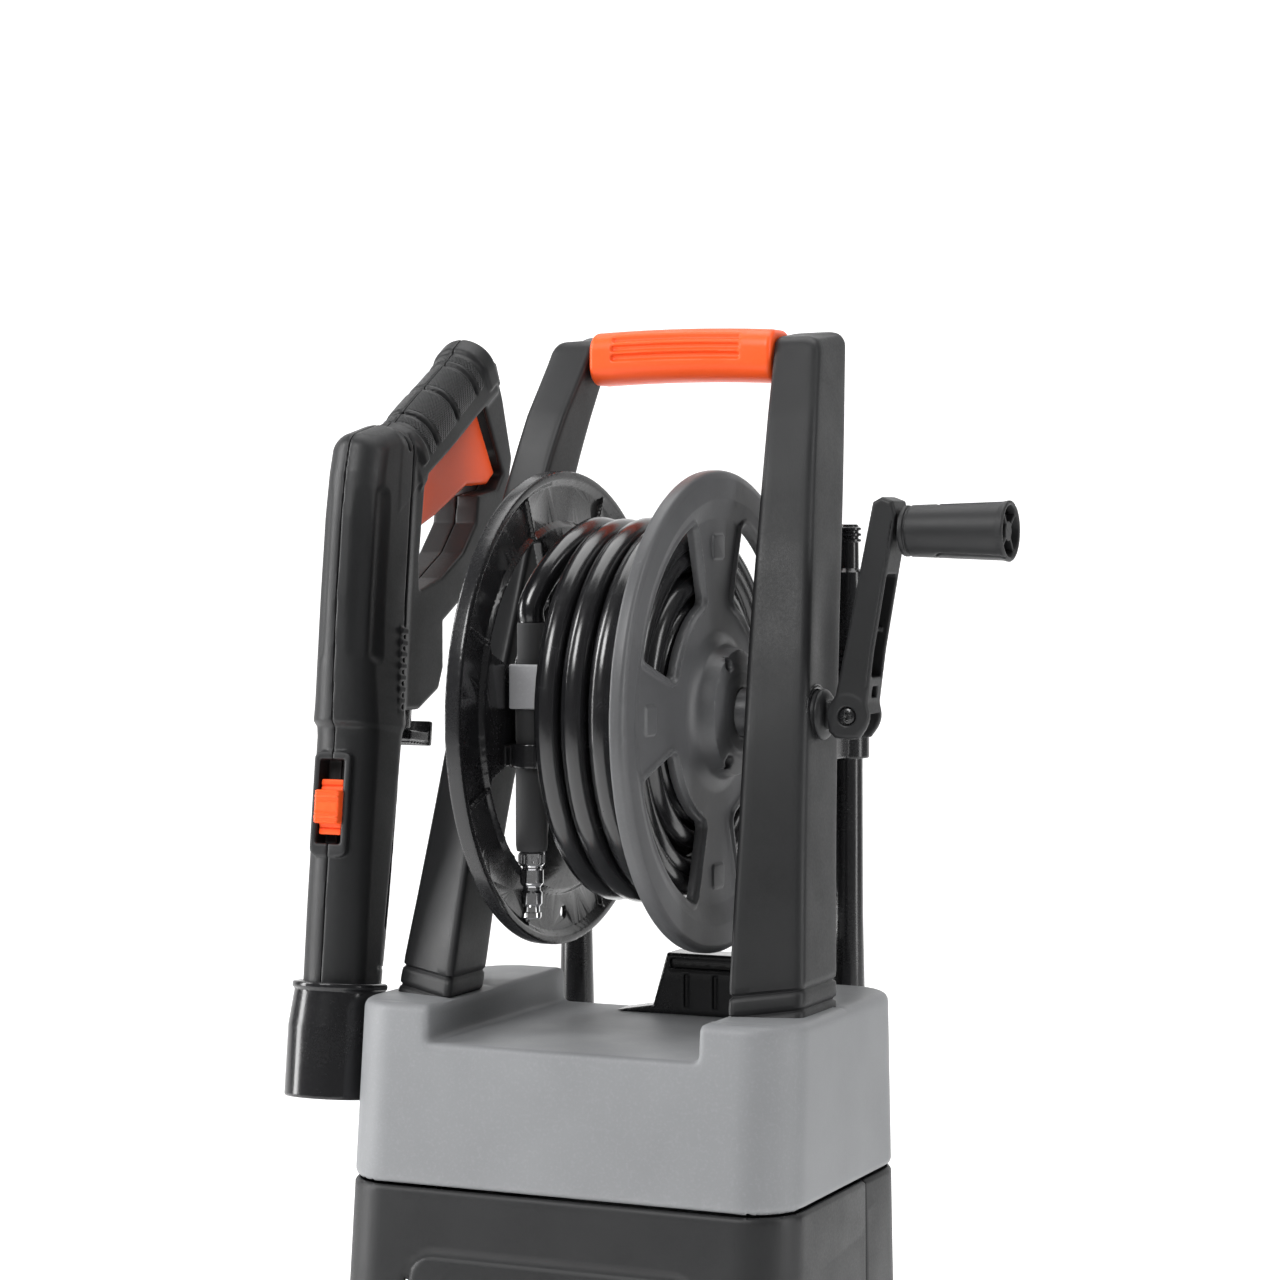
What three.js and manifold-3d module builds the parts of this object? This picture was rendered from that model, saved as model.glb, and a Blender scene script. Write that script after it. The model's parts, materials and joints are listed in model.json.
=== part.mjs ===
// An upright electric pressure washer: two swept legs carry a hose reel and a
// carrying grip above a wheeled housing, which holds the motor and pump.
// Millimetres. +X is the crank side, -Y the front, +Z up. The floor is Z = 0.
import * as THREE from "three";
import { mergeVertices } from "three/addons/utils/BufferGeometryUtils.js";
import Module from "manifold-3d";

const wasm = await Module();
wasm.setup();

// ---------------------------------------------------------------- sizes
const GAP = 0.3; // air between pieces that touch
const WALL = 3; // moulded wall
const REEL_Z = 630; // reel axle above the floor

const LEG_TOP = 193.5; // leg heights are measured from the reel axle
const LEG_BOTTOM = -190;
const LEG_ROUND = 0.3; // corner round, as a share of the half section

const GRIP_WIDTH = 104; // carrying grip between the legs
const GRIP_HEIGHT = 28;
const GRIP_DEPTH = 31;
const GRIP_Z = 179; // above the reel axle
const GRIP_Y = 65;
const CORE_HEIGHT = 16;
const CORE_DEPTH = 18;

const FLANGE_R = 120;
const FLANGE_X = 39; // inner face of each flange from the middle
const FLANGE_WEB = 5;
const FLANGE_RIM = 8;
const FLANGE_HUB_R = 34;
const DRUM_R = 45;
const JOURNAL_R = 12;
const WINDOW_IN_R = 56;
const WINDOW_OUT_R = 98;
const WINDOW_HALF_ANGLE = 0.45;

const HOSE_R = 6.5;
const COIL_OUT_R = 97;
const COIL_X0 = -14; // the coil lies against the crank-side flange
const HOSE_END_X = -30; // where the hose end is clipped to the flange
const HOSE_END_Y = -60;
const SLEEVE_R = 7.5;
const FEED_HOSE_R = 5;

const BOSS_X = 99; // where the hub's boss begins
const BOSS_R = 13.5;
const CRANK_PIN_X = 116;
const CRANK_PIN_R = 3;
const CRANK_FOOT_R = 12.5;
const CRANK_HALF_WIDTH = 10.5;
const CRANK_TONGUE = 6;
const CRANK_LENGTH = 103;
const CRANK_LEAN = 19; // how far the arm's end stands out from its foot
const ARM_THICK = 6.5; // half thickness at the grip
const CRANK_GRIP_Z = 90;
const CRANK_GRIP_LENGTH = 54;
const CRANK_GRIP_R = 14;

const GUN_BESIDE = 24; // middle plane of the gun, out from the top cover's side
const GUN_Y = -46;
const GUN_Z = -150;
const GUN_TILT = THREE.MathUtils.degToRad(7);
const GUN_HALF = 16;
const GUN_WALL = 2.6;
const BARREL_V = -7; // barrel axis in the gun's own frame
const BARREL_END = -40;
const BARREL_R = 20.6;
const TRIGGER_HALF = 9.5;
const TRIGGER_V = 21;
const TRIGGER_U = 262;
const TRIGGER_PIN_R = 2.5;
const SLIDER_HALF = 6.4;
const SLIDER_U0 = 84; // heights up the barrel
const SLIDER_U1 = 112;
const SLIDER_TRAVEL = 9;
const SOCKET_V = 30;
const SOCKET_R = 10.5;
const LATCH_U0 = 136;
const LATCH_THICK = 5.4;
const LATCH_TRAVEL = 3;

const LANCE_X = 78;
const LANCE_Y = 92;
const LANCE_R = 8;
const LANCE_Z0 = REEL_Z - 358; // foot of a stored lance
const LANCE_TOP = 10; // top of the tube from the reel axle
const TIP_TOP = 93;

const COVER_TOP = REEL_Z - 142;
const COVER_BOTTOM = COVER_TOP - 88;
const COVER_MIDDLE = COVER_TOP - 18; // floor of the channel between the legs
const TRAY_TOP = 116;
const TRAY_BOTTOM = 14;
const BODY_TOP = { half: 118, front: -90, rear: 66 };
const BODY_FOOT = { half: 124, front: -135, rear: 78 };
const GUN_X = -(BODY_TOP.half + GUN_BESIDE);
const SPLIT_Y = 10; // where the front and rear covers meet

const WHEEL_R = 75;
const WHEEL_WIDTH = 30;
const WHEEL_X = BODY_FOOT.half + 7; // inner face of a wheel
const AXLE_R = 6;
const AXLE_Y = 62;
const FOOT_R = 14;
const FOOT_Y = -105;
const KNOB_Z = COVER_BOTTOM - 100;
const KNOB_R = 24;

const MOTOR_Y = -20;
const MOTOR_R = 52;
const MOTOR_Z0 = 215;
const MOTOR_Z1 = 350;
const PUMP_Z0 = 120;
const PUMP_Z1 = 180;
const PUMP_R = 38;
const PLUNGER_R = 6;
const PLUNGER_CIRCLE = 22;
const PLUNGER_STROKE = 5;
const INLET_Z = 97;
const GLAND_R = 9;
const GLAND_X = -40;
const GLAND_Z = 180;
const CLIP_Z = -20; // lance clips, from the reel axle

// ---------------------------------------------------------------- materials
const finish = (color, roughness, metalness = 0) =>
  new THREE.MeshStandardMaterial({ color, roughness, metalness });
const looks = {
  shell: finish(0x3c3d3f, 0.55),
  grey: finish(0x77797b, 0.55),
  black: finish(0x141516, 0.35),
  satin: finish(0x2a2b2c, 0.5),
  orange: finish(0xff6a2a, 0.5),
  rubber: finish(0x1b1c1d, 0.8),
  hose: finish(0x101112, 0.3),
  steel: finish(0xb8babd, 0.3, 1),
  chrome: finish(0xdddddd, 0.12, 1),
  brass: finish(0xb08d45, 0.35, 1),
  alloy: finish(0xa9acb0, 0.45, 1),
};

// ---------------------------------------------------------------- solids
// A closed geometry as a manifold solid with its faces turned outwards.
function solid(geometry) {
  const bare = new THREE.BufferGeometry();
  const loose = geometry.index ? geometry.toNonIndexed() : geometry;
  bare.setAttribute("position", loose.getAttribute("position"));
  const merged = mergeVertices(bare, 1e-4);
  const kept = [];
  const index = merged.index.array;
  for (let i = 0; i < index.length; i += 3) {
    const [a, b, c] = [index[i], index[i + 1], index[i + 2]];
    if (a !== b && b !== c && c !== a) kept.push(a, b, c);
  }
  const build = (triVerts) =>
    new wasm.Manifold(
      new wasm.Mesh({
        numProp: 3,
        vertProperties: new Float32Array(merged.attributes.position.array),
        triVerts: new Uint32Array(triVerts),
      }),
    );
  const made = build(kept);
  if (made.volume() > 0) return made;
  return build(kept.reverse());
}

const join = (...solids) => solids.reduce((a, b) => a.add(b));
const cut = (body, ...tools) => tools.reduce((a, b) => a.subtract(b), body);

// A piece made for the right side, turned over for the left.
const onSide = (side, made) => (side < 0 ? made.mirror([1, 0, 0]) : made);

function geometryOf(made) {
  const mesh = made.getMesh();
  const geometry = new THREE.BufferGeometry();
  const position = new THREE.BufferAttribute(new Float32Array(mesh.vertProperties), 3);
  geometry.setAttribute("position", position);
  geometry.setIndex(new THREE.BufferAttribute(new Uint32Array(mesh.triVerts), 1));
  const flat = geometry.toNonIndexed();
  flat.computeVertexNormals();
  return flat;
}

function outline(points) {
  return new THREE.Shape(points.map(([x, y]) => new THREE.Vector2(x, y)));
}

function roundedRect(width, height, radius, x = 0, y = 0) {
  const shape = new THREE.Shape();
  const [w, h] = [width / 2 - radius, height / 2 - radius];
  shape.absarc(x + w, y + h, radius, 0, Math.PI / 2);
  shape.absarc(x - w, y + h, radius, Math.PI / 2, Math.PI);
  shape.absarc(x - w, y - h, radius, Math.PI, 1.5 * Math.PI);
  shape.absarc(x + w, y - h, radius, 1.5 * Math.PI, 2 * Math.PI);
  shape.closePath();
  return shape;
}

function circle(radius, x = 0, y = 0) {
  const shape = new THREE.Shape();
  shape.absarc(x, y, radius, 0, 2 * Math.PI);
  return shape;
}

// A band with round ends from one point to another.
function capsule([ax, ay], [bx, by], radius) {
  const turn = Math.atan2(by - ay, bx - ax);
  const shape = new THREE.Shape();
  shape.absarc(bx, by, radius, turn - Math.PI / 2, turn + Math.PI / 2);
  shape.absarc(ax, ay, radius, turn + Math.PI / 2, turn + 1.5 * Math.PI);
  shape.closePath();
  return shape;
}

function extruded(shape, depth, curveSegments = 4) {
  return new THREE.ExtrudeGeometry(shape, { depth, bevelEnabled: false, curveSegments });
}

// Shape x, y run along Y, Z; the extrusion runs along X.
function alongX(shape, x0, x1, curveSegments) {
  const geometry = extruded(shape, x1 - x0, curveSegments);
  const basis = new THREE.Matrix4().makeBasis(
    new THREE.Vector3(0, 1, 0),
    new THREE.Vector3(0, 0, 1),
    new THREE.Vector3(1, 0, 0),
  );
  return solid(geometry.applyMatrix4(basis).translate(x0, 0, 0));
}

// Shape x, y run along X, Z; the extrusion runs along Y.
function alongY(shape, y0, y1, curveSegments) {
  return solid(extruded(shape, y1 - y0, curveSegments).rotateX(Math.PI / 2).translate(0, y1, 0));
}

function alongZ(shape, z0, z1, curveSegments) {
  return solid(extruded(shape, z1 - z0, curveSegments).translate(0, 0, z0));
}

function box(x0, x1, y0, y1, z0, z1) {
  const geometry = new THREE.BoxGeometry(x1 - x0, y1 - y0, z1 - z0);
  return solid(geometry.translate((x0 + x1) / 2, (y0 + y1) / 2, (z0 + z1) / 2));
}

// A turned piece: profile points are [radius, height along the axis].
function turned(profile, axis, segments = 20) {
  const points = profile.map(([r, h]) => new THREE.Vector2(r, h));
  const geometry = new THREE.LatheGeometry(points, segments);
  if (axis === "x") geometry.rotateZ(-Math.PI / 2);
  if (axis === "z") geometry.rotateX(Math.PI / 2);
  return solid(geometry);
}

// A plain rod and a plain tube between two heights on an axis.
const rod = (r, h0, h1, axis, segments) => turned([[0, h0], [r, h0], [r, h1], [0, h1]], axis, segments);
const tube = (inner, outer, h0, h1, axis, segments) =>
  turned([[inner, h0], [outer, h0], [outer, h1], [inner, h1], [inner, h0]], axis, segments);

// A round tube that follows a smooth curve through the points.
function piped(points, radius, steps, sides = 8) {
  const path = new THREE.CatmullRomCurve3(points.map((p) => new THREE.Vector3(...p)), false, "centripetal");
  const options = { steps, extrudePath: path, curveSegments: sides / 2 };
  return solid(new THREE.ExtrudeGeometry(circle(radius), options));
}

// ---------------------------------------------------------------- assembly
const machine = new THREE.Group();
const upper = new THREE.Group(); // heights from the reel axle
upper.position.z = REEL_Z;
const gun = new THREE.Group(); // x across, y = v back, z = u up the barrel
gun.position.set(GUN_X, GUN_Y, REEL_Z + GUN_Z);
gun.rotation.x = -GUN_TILT;
machine.add(upper, gun);

function place(name, made, material, group = machine) {
  const mesh = new THREE.Mesh(geometryOf(made), material);
  mesh.name = name;
  group.add(mesh);
}

// ---------------------------------------------------------------- legs
// Section corners at stations up the right leg: height, inner face x, inner
// front y, outer face x, outer front y, inner depth, outer depth.
const LEG_STATIONS = [
  [-200, 79, -78, 114.5, -65, 40, 49],
  [-150, 75.5, -66, 110.5, -54, 40, 48],
  [-50, 71, -41, 101.5, -29, 41, 46],
  [40, 64.5, -12, 94, -5, 41, 45],
  [120, 59.5, 17, 85, 24, 38, 45],
  [190, 51, 54, 76, 54, 29, 41],
];
const legSections = new THREE.CubicInterpolant(
  LEG_STATIONS.map((s) => s[0]),
  LEG_STATIONS.flatMap((s) => s.slice(1)),
  5 + 1,
);

// The x, y of a leg at height z: u runs -1 inner to 1 outer, v -1 front to 1 rear.
function legPoint(u, v, z, grow) {
  const [innerX, innerY, outerX, outerY, innerDepth, outerDepth] = legSections.evaluate(z);
  const across = (u + 1) / 2;
  const front = THREE.MathUtils.lerp(innerY, outerY, across) - grow;
  const depth = THREE.MathUtils.lerp(innerDepth, outerDepth, across) + 2 * grow;
  const x = THREE.MathUtils.lerp(innerX - grow, outerX + grow, across);
  return [x, front + (depth * (v + 1)) / 2];
}

// The top slopes down to the front and rounds off to the outside.
const legTopDrop = (u, v) => 2.5 * (1 - v) + 4 * Math.max(0, u) ** 4;

function legSolid(side, grow, z0, z1, drop = legTopDrop) {
  const section = roundedRect(2, 2, LEG_ROUND);
  const geometry = new THREE.ExtrudeGeometry(section, {
    depth: 1,
    steps: 8,
    bevelEnabled: false,
    curveSegments: 1,
  });
  const position = geometry.getAttribute("position");
  for (let i = 0; i < position.count; i++) {
    const [u, v, t] = [position.getX(i), position.getY(i), position.getZ(i)];
    const z = z0 + t * (z1 - drop(u, v) - z0);
    const [x, y] = legPoint(u, v, z, grow);
    position.setXYZ(i, side * x, y, z);
  }
  return solid(geometry);
}

const coreSection = (grow) =>
  roundedRect(CORE_DEPTH + 2 * grow, CORE_HEIGHT + 2 * grow, 4, GRIP_Y, GRIP_Z - 2);
const CORE_HALF = GRIP_WIDTH / 2 + 14;
const BUSH_OUT_R = JOURNAL_R + 3;
const bearingBore = (side) => onSide(side, rod(BUSH_OUT_R + GAP, 40, 90, "x"));

function leg(side) {
  const hollow = legSolid(side, -WALL, LEG_BOTTOM - 5, LEG_TOP - WALL);
  const core = alongX(coreSection(GAP), -CORE_HALF - GAP, CORE_HALF + GAP);
  return cut(legSolid(side, 0, LEG_BOTTOM, LEG_TOP), hollow, core, bearingBore(side));
}
place("left_leg", leg(-1), looks.shell, upper);
const crankBore = rod(BUSH_OUT_R + GAP, 80, 120, "x");
place("right_leg", cut(leg(1), crankBore), looks.shell, upper);

// ---------------------------------------------------------------- carrying grip
function carryingGrip() {
  const half = GRIP_WIDTH / 2 - 1;
  const body = alongX(roundedRect(GRIP_DEPTH, GRIP_HEIGHT, 10, GRIP_Y, GRIP_Z), -half, half);
  const grooves = [-8, 0, 8].map((dz) => {
    const groove = roundedRect(2 * half - 28, 2, 0.5, 0, GRIP_Z + dz / 2 + 4);
    return alongY(groove, GRIP_Y - GRIP_DEPTH / 2 - 1, GRIP_Y - GRIP_DEPTH / 2 + 1.5, 1);
  });
  return cut(body, alongX(coreSection(GAP), -half - 1, half + 1), ...grooves);
}
place("handle_grip", carryingGrip(), looks.orange, upper);
place("handle_core", alongX(coreSection(0), -CORE_HALF, CORE_HALF), looks.satin, upper);

// ---------------------------------------------------------------- hose reel
// A flange on the right side: web, rim, hub, and a journal that turns in a leg.
function flange(side, journalEnd) {
  const web = FLANGE_X + FLANGE_WEB;
  const disc = turned(
    [
      [0, FLANGE_X],
      [FLANGE_R, FLANGE_X],
      [FLANGE_R, FLANGE_X + FLANGE_RIM],
      [FLANGE_R - 6, FLANGE_X + FLANGE_RIM],
      [FLANGE_R - 12, web],
      [FLANGE_HUB_R + 4, web],
      [FLANGE_HUB_R, web + 12],
      [JOURNAL_R, web + 14],
      [JOURNAL_R, journalEnd],
      [0, journalEnd],
    ],
    "x",
    36,
  );
  const windows = [1, 3, 5, 7].map((eighth) => flangeWindow((eighth * Math.PI) / 4));
  return onSide(side, cut(disc, ...windows));
}

function flangeWindow(middle) {
  const shape = new THREE.Shape();
  const [from, to] = [middle - WINDOW_HALF_ANGLE, middle + WINDOW_HALF_ANGLE];
  shape.absarc(0, 0, WINDOW_OUT_R, from, to);
  shape.absarc(0, 0, WINDOW_IN_R, to, from, true);
  shape.closePath();
  return alongX(shape, FLANGE_X - 1, FLANGE_X + FLANGE_WEB + 1, 4);
}

const LEG_FACE_X = 66; // where the reel's journals enter the legs
const SWIVEL_X = 80; // end of the journal over the swivel
const SPINDLE_R = 6;
const swivelBore = rod(SPINDLE_R + GAP, -SWIVEL_X - 1, -50, "x");
place("flange_left", cut(flange(-1, SWIVEL_X), swivelBore), looks.black, upper);
place("flange_right", flange(1, LEG_FACE_X + 8), looks.satin, upper);
const drumEnd = FLANGE_X - GAP;
place("reel_drum", tube(DRUM_R - WALL, DRUM_R, -drumEnd, drumEnd, "x", 32), looks.satin, upper);

const bushLeft = tube(JOURNAL_R + GAP, BUSH_OUT_R, -78, -LEG_FACE_X, "x");
place("bush_left", bushLeft, looks.black, upper);
const bushRight = tube(JOURNAL_R + GAP, BUSH_OUT_R, LEG_FACE_X, 97, "x");
place("bush_right", bushRight, looks.black, upper);

// The fixed swivel brings water into the turning journal.
function swivelFitting() {
  const spindle = rod(SPINDLE_R, -92, -52, "x", 16);
  const block = rod(9, -93, -SWIVEL_X - GAP, "x", 16);
  const barb = rod(4, -34, 0, "z", 12).translate([-87, 0, 0]);
  return join(spindle, block, barb);
}
place("swivel_fitting", swivelFitting(), looks.brass, upper);

// The wound hose, its loose end and the clip that keeps it on the flange.
const coil = tube(DRUM_R + GAP, COIL_OUT_R, COIL_X0, drumEnd - GAP, "x", 40);
place("hose_coil", coil, looks.hose, upper);
const SLEEVE_TOP = 45;
const SLEEVE_BOTTOM = -67;
const TAIL_X = COIL_X0 - HOSE_R - 0.6;
const HOSE_TAIL = [
  [TAIL_X, 60, 66],
  [TAIL_X, 32, 84],
  [TAIL_X, 0, 90.5],
  [TAIL_X - 1, -28, 84],
  [TAIL_X - 5, -50, 69],
  [HOSE_END_X, HOSE_END_Y, SLEEVE_TOP + 9],
  [HOSE_END_X, HOSE_END_Y, SLEEVE_TOP + GAP],
];
place("hose_tail", piped(HOSE_TAIL, HOSE_R, 16, 8), looks.hose, upper);
const atHoseEnd = (made) => made.translate([HOSE_END_X, HOSE_END_Y, 0]);
const sleeve = turned(
  [
    [0, SLEEVE_BOTTOM],
    [SLEEVE_R, SLEEVE_BOTTOM],
    [SLEEVE_R, -10],
    [SLEEVE_R - 1, SLEEVE_TOP],
    [0, SLEEVE_TOP],
  ],
  "z",
  16,
);
place("hose_sleeve", atHoseEnd(sleeve), looks.rubber, upper);
const nippleTop = SLEEVE_BOTTOM - GAP;
const nipple = turned(
  [
    [0, nippleTop],
    [6.6, nippleTop],
    [6.6, nippleTop - 8],
    [5.8, nippleTop - 16],
    [5, nippleTop - 18],
    [5, nippleTop - 22],
    [4.2, nippleTop - 25],
    [5, nippleTop - 28],
    [4.4, nippleTop - 33],
    [0, nippleTop - 33],
  ],
  "z",
  16,
);
place("hose_nipple", atHoseEnd(nipple), looks.chrome, upper);

function hoseClip() {
  const reach = FLANGE_X + HOSE_END_X - GAP; // from the sleeve's axis to the flange
  const ring = tube(SLEEVE_R + GAP, reach, -26, -14, "z", 16);
  const mouth = box(2, 12, -4, 4, -27, -13);
  return atHoseEnd(cut(ring, mouth));
}
place("hose_clip", hoseClip(), looks.black, upper);

// ---------------------------------------------------------------- crank
const BOSS_END = CRANK_PIN_X - CRANK_FOOT_R - GAP;
const acrossPin = (shape, half, segments) => alongY(shape, -half, half, segments);
function crankHub() {
  const journal = rod(JOURNAL_R, LEG_FACE_X + 8 + GAP, BOSS_X + 1, "x");
  const boss = rod(BOSS_R, BOSS_X, BOSS_END, "x");
  const tongue = acrossPin(capsule([BOSS_X + 2, 0], [CRANK_PIN_X, 0], 7), CRANK_TONGUE);
  const pinHole = acrossPin(circle(CRANK_PIN_R + GAP, CRANK_PIN_X, 0), CRANK_TONGUE + 1);
  return cut(join(journal, boss, tongue), pinHole);
}
place("crank_hub", crankHub(), looks.shell, upper);

const armEndX = CRANK_PIN_X + CRANK_LEAN;
function crankArm() {
  const foot = acrossPin(circle(CRANK_FOOT_R, CRANK_PIN_X, 0), CRANK_HALF_WIDTH, 10);
  const blade = outline([
    [CRANK_PIN_X - 8, 0],
    [CRANK_PIN_X + 8.5, 0],
    [armEndX + ARM_THICK, CRANK_LENGTH - 4],
    [armEndX + 2, CRANK_LENGTH],
    [armEndX - ARM_THICK, CRANK_LENGTH],
  ]);
  const arm = join(foot, acrossPin(blade, CRANK_HALF_WIDTH));
  const fork = acrossPin(
    capsule([CRANK_PIN_X - 40, 0], [CRANK_PIN_X, 0], CRANK_FOOT_R - 4),
    CRANK_TONGUE + GAP,
    10,
  );
  const heelEnd = CRANK_PIN_X + CRANK_FOOT_R - 4;
  const heel = box(CRANK_PIN_X - 30, heelEnd, -CRANK_TONGUE - GAP, CRANK_TONGUE + GAP, -20, 0);
  const pin = acrossPin(circle(CRANK_PIN_R, CRANK_PIN_X, 0), CRANK_HALF_WIDTH + 1);
  const channel = acrossPin(
    outline([
      [CRANK_PIN_X + 6, 22],
      [CRANK_PIN_X + 20, 22],
      [armEndX + 14, 70],
      [armEndX - 3, 70],
    ]),
    CRANK_HALF_WIDTH - WALL,
  );
  return join(cut(arm, fork, heel, pin, channel), gripSpigot(0));
}
const atGrip = (made) => made.translate([0, 0, CRANK_GRIP_Z]);
const GRIP_X0 = armEndX + ARM_THICK + GAP;
const GRIP_X1 = GRIP_X0 + CRANK_GRIP_LENGTH;
const gripSpigot = (grow) => atGrip(rod(5 + grow, armEndX, GRIP_X1 - 8 + grow, "x", 16));
place("crank_arm", crankArm(), looks.shell, upper);
const pinLength = CRANK_HALF_WIDTH - 0.5;
const crankPin = acrossPin(circle(CRANK_PIN_R - GAP, CRANK_PIN_X, 0), pinLength);
place("crank_pin", crankPin, looks.steel, upper);
const gripProfile = [
  [0, GRIP_X0],
  [CRANK_GRIP_R - 2, GRIP_X0],
  [CRANK_GRIP_R - 1.5, GRIP_X0 + 4],
  [CRANK_GRIP_R - 1.5, GRIP_X0 + 20],
  [CRANK_GRIP_R, GRIP_X1 - 6],
  [CRANK_GRIP_R + 1, GRIP_X1],
  [0, GRIP_X1],
];
place("crank_grip", cut(atGrip(turned(gripProfile, "x")), gripSpigot(GAP)), looks.satin, upper);

// ---------------------------------------------------------------- spray gun
// Handle struts as [from, to, radius] in the gun's v, u plane.
const HANDLE = [
  [[14, 284], [91, 341], 16],
  [[91, 341], [111, 300], 14],
  [[111, 300], [108, 277], 12],
  [[108, 277], [46, 216], 11],
];
const barrelProfile = (grow, top) => [
  [0, BARREL_END],
  [BARREL_R - 3 + grow, BARREL_END],
  [BARREL_R - 2.4 + grow, 0],
  [BARREL_R + grow, 74],
  [BARREL_R + 0.4 + grow, 136],
  [BARREL_R + 3 + grow, 141],
  [BARREL_R + 4 + grow, 186],
  [BARREL_R + 4 + grow, 236],
  [BARREL_R + 1 + grow, top - 18],
  [BARREL_R * 0.5 + grow, top],
  [0, top],
];
const barrel = (grow, top) => turned(barrelProfile(grow, top), "z", 20).translate([0, BARREL_V, 0]);
const valveBox = (grow) =>
  outline([
    [0, 144 - grow],
    [37.5 + grow, 151 - grow],
    [57 + grow, 162 - grow],
    [58 + grow, 176],
    [54 + grow, 202],
    [30, 226 + grow],
    [20 + grow, 250],
    [0, 290],
  ]);
const TRIGGER = [
  [12.4, 256],
  [27, 247],
  [83, 277],
  [106, 280],
  [113, 286],
  [88, 316],
  [30, 275],
  [22, 281],
  [12.4, 281],
];
const TRIGGER_SWEEP = [
  [6, 252],
  [25, 243],
  [84, 273.5],
  [109, 277],
  [117, 286],
  [114, 300],
  [88, 336],
  [74, 332],
  [22, 290],
  [6, 284],
];
// The opening the fingers pass through, in front of the trigger.
const FINGER_WINDOW = [
  [30.5, 228],
  [32, 216.5],
  [51, 225],
  [74, 241],
  [86, 257],
  [87, 273],
  [109, 279],
  [115, 287],
  [88.5, 317],
  [31, 275],
];
const acrossGun = (shape, half, segments) => alongX(shape, -half, half, segments);
function gunShells() {
  const struts = (shrink, half) =>
    HANDLE.map(([from, to, radius]) => acrossGun(capsule(from, to, radius - shrink), half, 3));
  const outer = join(barrel(0, 292), acrossGun(valveBox(0), GUN_HALF), ...struts(0, GUN_HALF));
  const inside = GUN_HALF - GUN_WALL;
  const hollow = [
    barrel(-GUN_WALL, 288),
    rod(BARREL_R - 3 - GUN_WALL, BARREL_END - 1, 0, "z").translate([0, BARREL_V, 0]),
    acrossGun(valveBox(-GUN_WALL), inside),
    ...struts(GUN_WALL, inside),
  ];
  const fingers = acrossGun(outline(FINGER_WINDOW), GUN_HALF + 1);
  const sweep = acrossGun(outline(TRIGGER_SWEEP), TRIGGER_HALF + 1);
  const slot = SLIDER_HALF + GAP;
  const window = box(-slot, slot, -60, -15, SLIDER_U0 - 0.4, SLIDER_U1 + SLIDER_TRAVEL + 0.4);
  const mouth = rod(SOCKET_R + GAP, 120, 170, "z").translate([0, SOCKET_V, 0]);
  return cut(outer, ...hollow, fingers, sweep, window, mouth);
}
const triggerPin = (grow) =>
  acrossGun(circle(TRIGGER_PIN_R + grow, TRIGGER_V, TRIGGER_U), GUN_HALF - 1 + grow, 8);
const shells = cut(gunShells(), triggerPin(GAP));
const halfSpace = (x0, x1) => box(x0, x1, -80, 160, BARREL_END - 10, 400);
place("gun_shell_left", shells.intersect(halfSpace(-60, -GAP / 2)), looks.shell, gun);
place("gun_shell_right", shells.intersect(halfSpace(GAP / 2, 60)), looks.shell, gun);
place("trigger_pin", triggerPin(0), looks.steel, gun);
const trigger = cut(acrossGun(outline(TRIGGER), TRIGGER_HALF), triggerPin(GAP));
place("gun_trigger", trigger, looks.orange, gun);

// The valve stands in the barrel; its pushrod is pressed by the trigger's heel.
const PUSHROD_U = 272;
const PUSHROD_R = 2.2;
const VALVE_R = 9;
function gunValve() {
  const body = turned(
    [
      [0, -4],
      [5, -4],
      [5, 150],
      [VALVE_R, 154],
      [VALVE_R, 278],
      [0, 278],
    ],
    "z",
    16,
  ).translate([0, BARREL_V, 0]);
  return cut(body, acrossV(PUSHROD_R + GAP, -9, 10));
}
function acrossV(radius, v0, v1) {
  return solid(new THREE.CylinderGeometry(radius, radius, v1 - v0, 12)).translate([
    0,
    (v0 + v1) / 2,
    PUSHROD_U,
  ]);
}
place("gun_valve", gunValve(), looks.brass, gun);
place("valve_pushrod", acrossV(PUSHROD_R, -6, 12.1), looks.steel, gun);

function valveSpring() {
  const turns = 3;
  const [from, to] = [VALVE_R + BARREL_V + 1.4, 9];
  const points = [];
  for (let i = 0; i <= turns * 8; i++) {
    const angle = (i * Math.PI) / 4;
    const v = from + ((to - from) * i) / (turns * 8);
    points.push([3.9 * Math.cos(angle), v, PUSHROD_U + 3.9 * Math.sin(angle)]);
  }
  return piped(points, 0.6, turns * 8, 4);
}
place("valve_spring", valveSpring(), looks.steel, gun);

function lockSlider() {
  const [u0, u1] = [SLIDER_U0, SLIDER_U1];
  const skin = BARREL_V - BARREL_R; // the barrel's front
  const slide = box(-SLIDER_HALF, SLIDER_HALF, skin - 1, skin + 7.2, u0, u1);
  const flangeInside = box(-SLIDER_HALF - 1.8, SLIDER_HALF + 1.8, skin + 7, skin + 9, u0, u1);
  const knob = box(-SLIDER_HALF - 1, SLIDER_HALF + 1, skin - 5.4, skin - 0.9, u0 + 5, u1 - 5);
  return join(slide, flangeInside, knob);
}
place("lock_slider", lockSlider(), looks.orange, gun);

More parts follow.
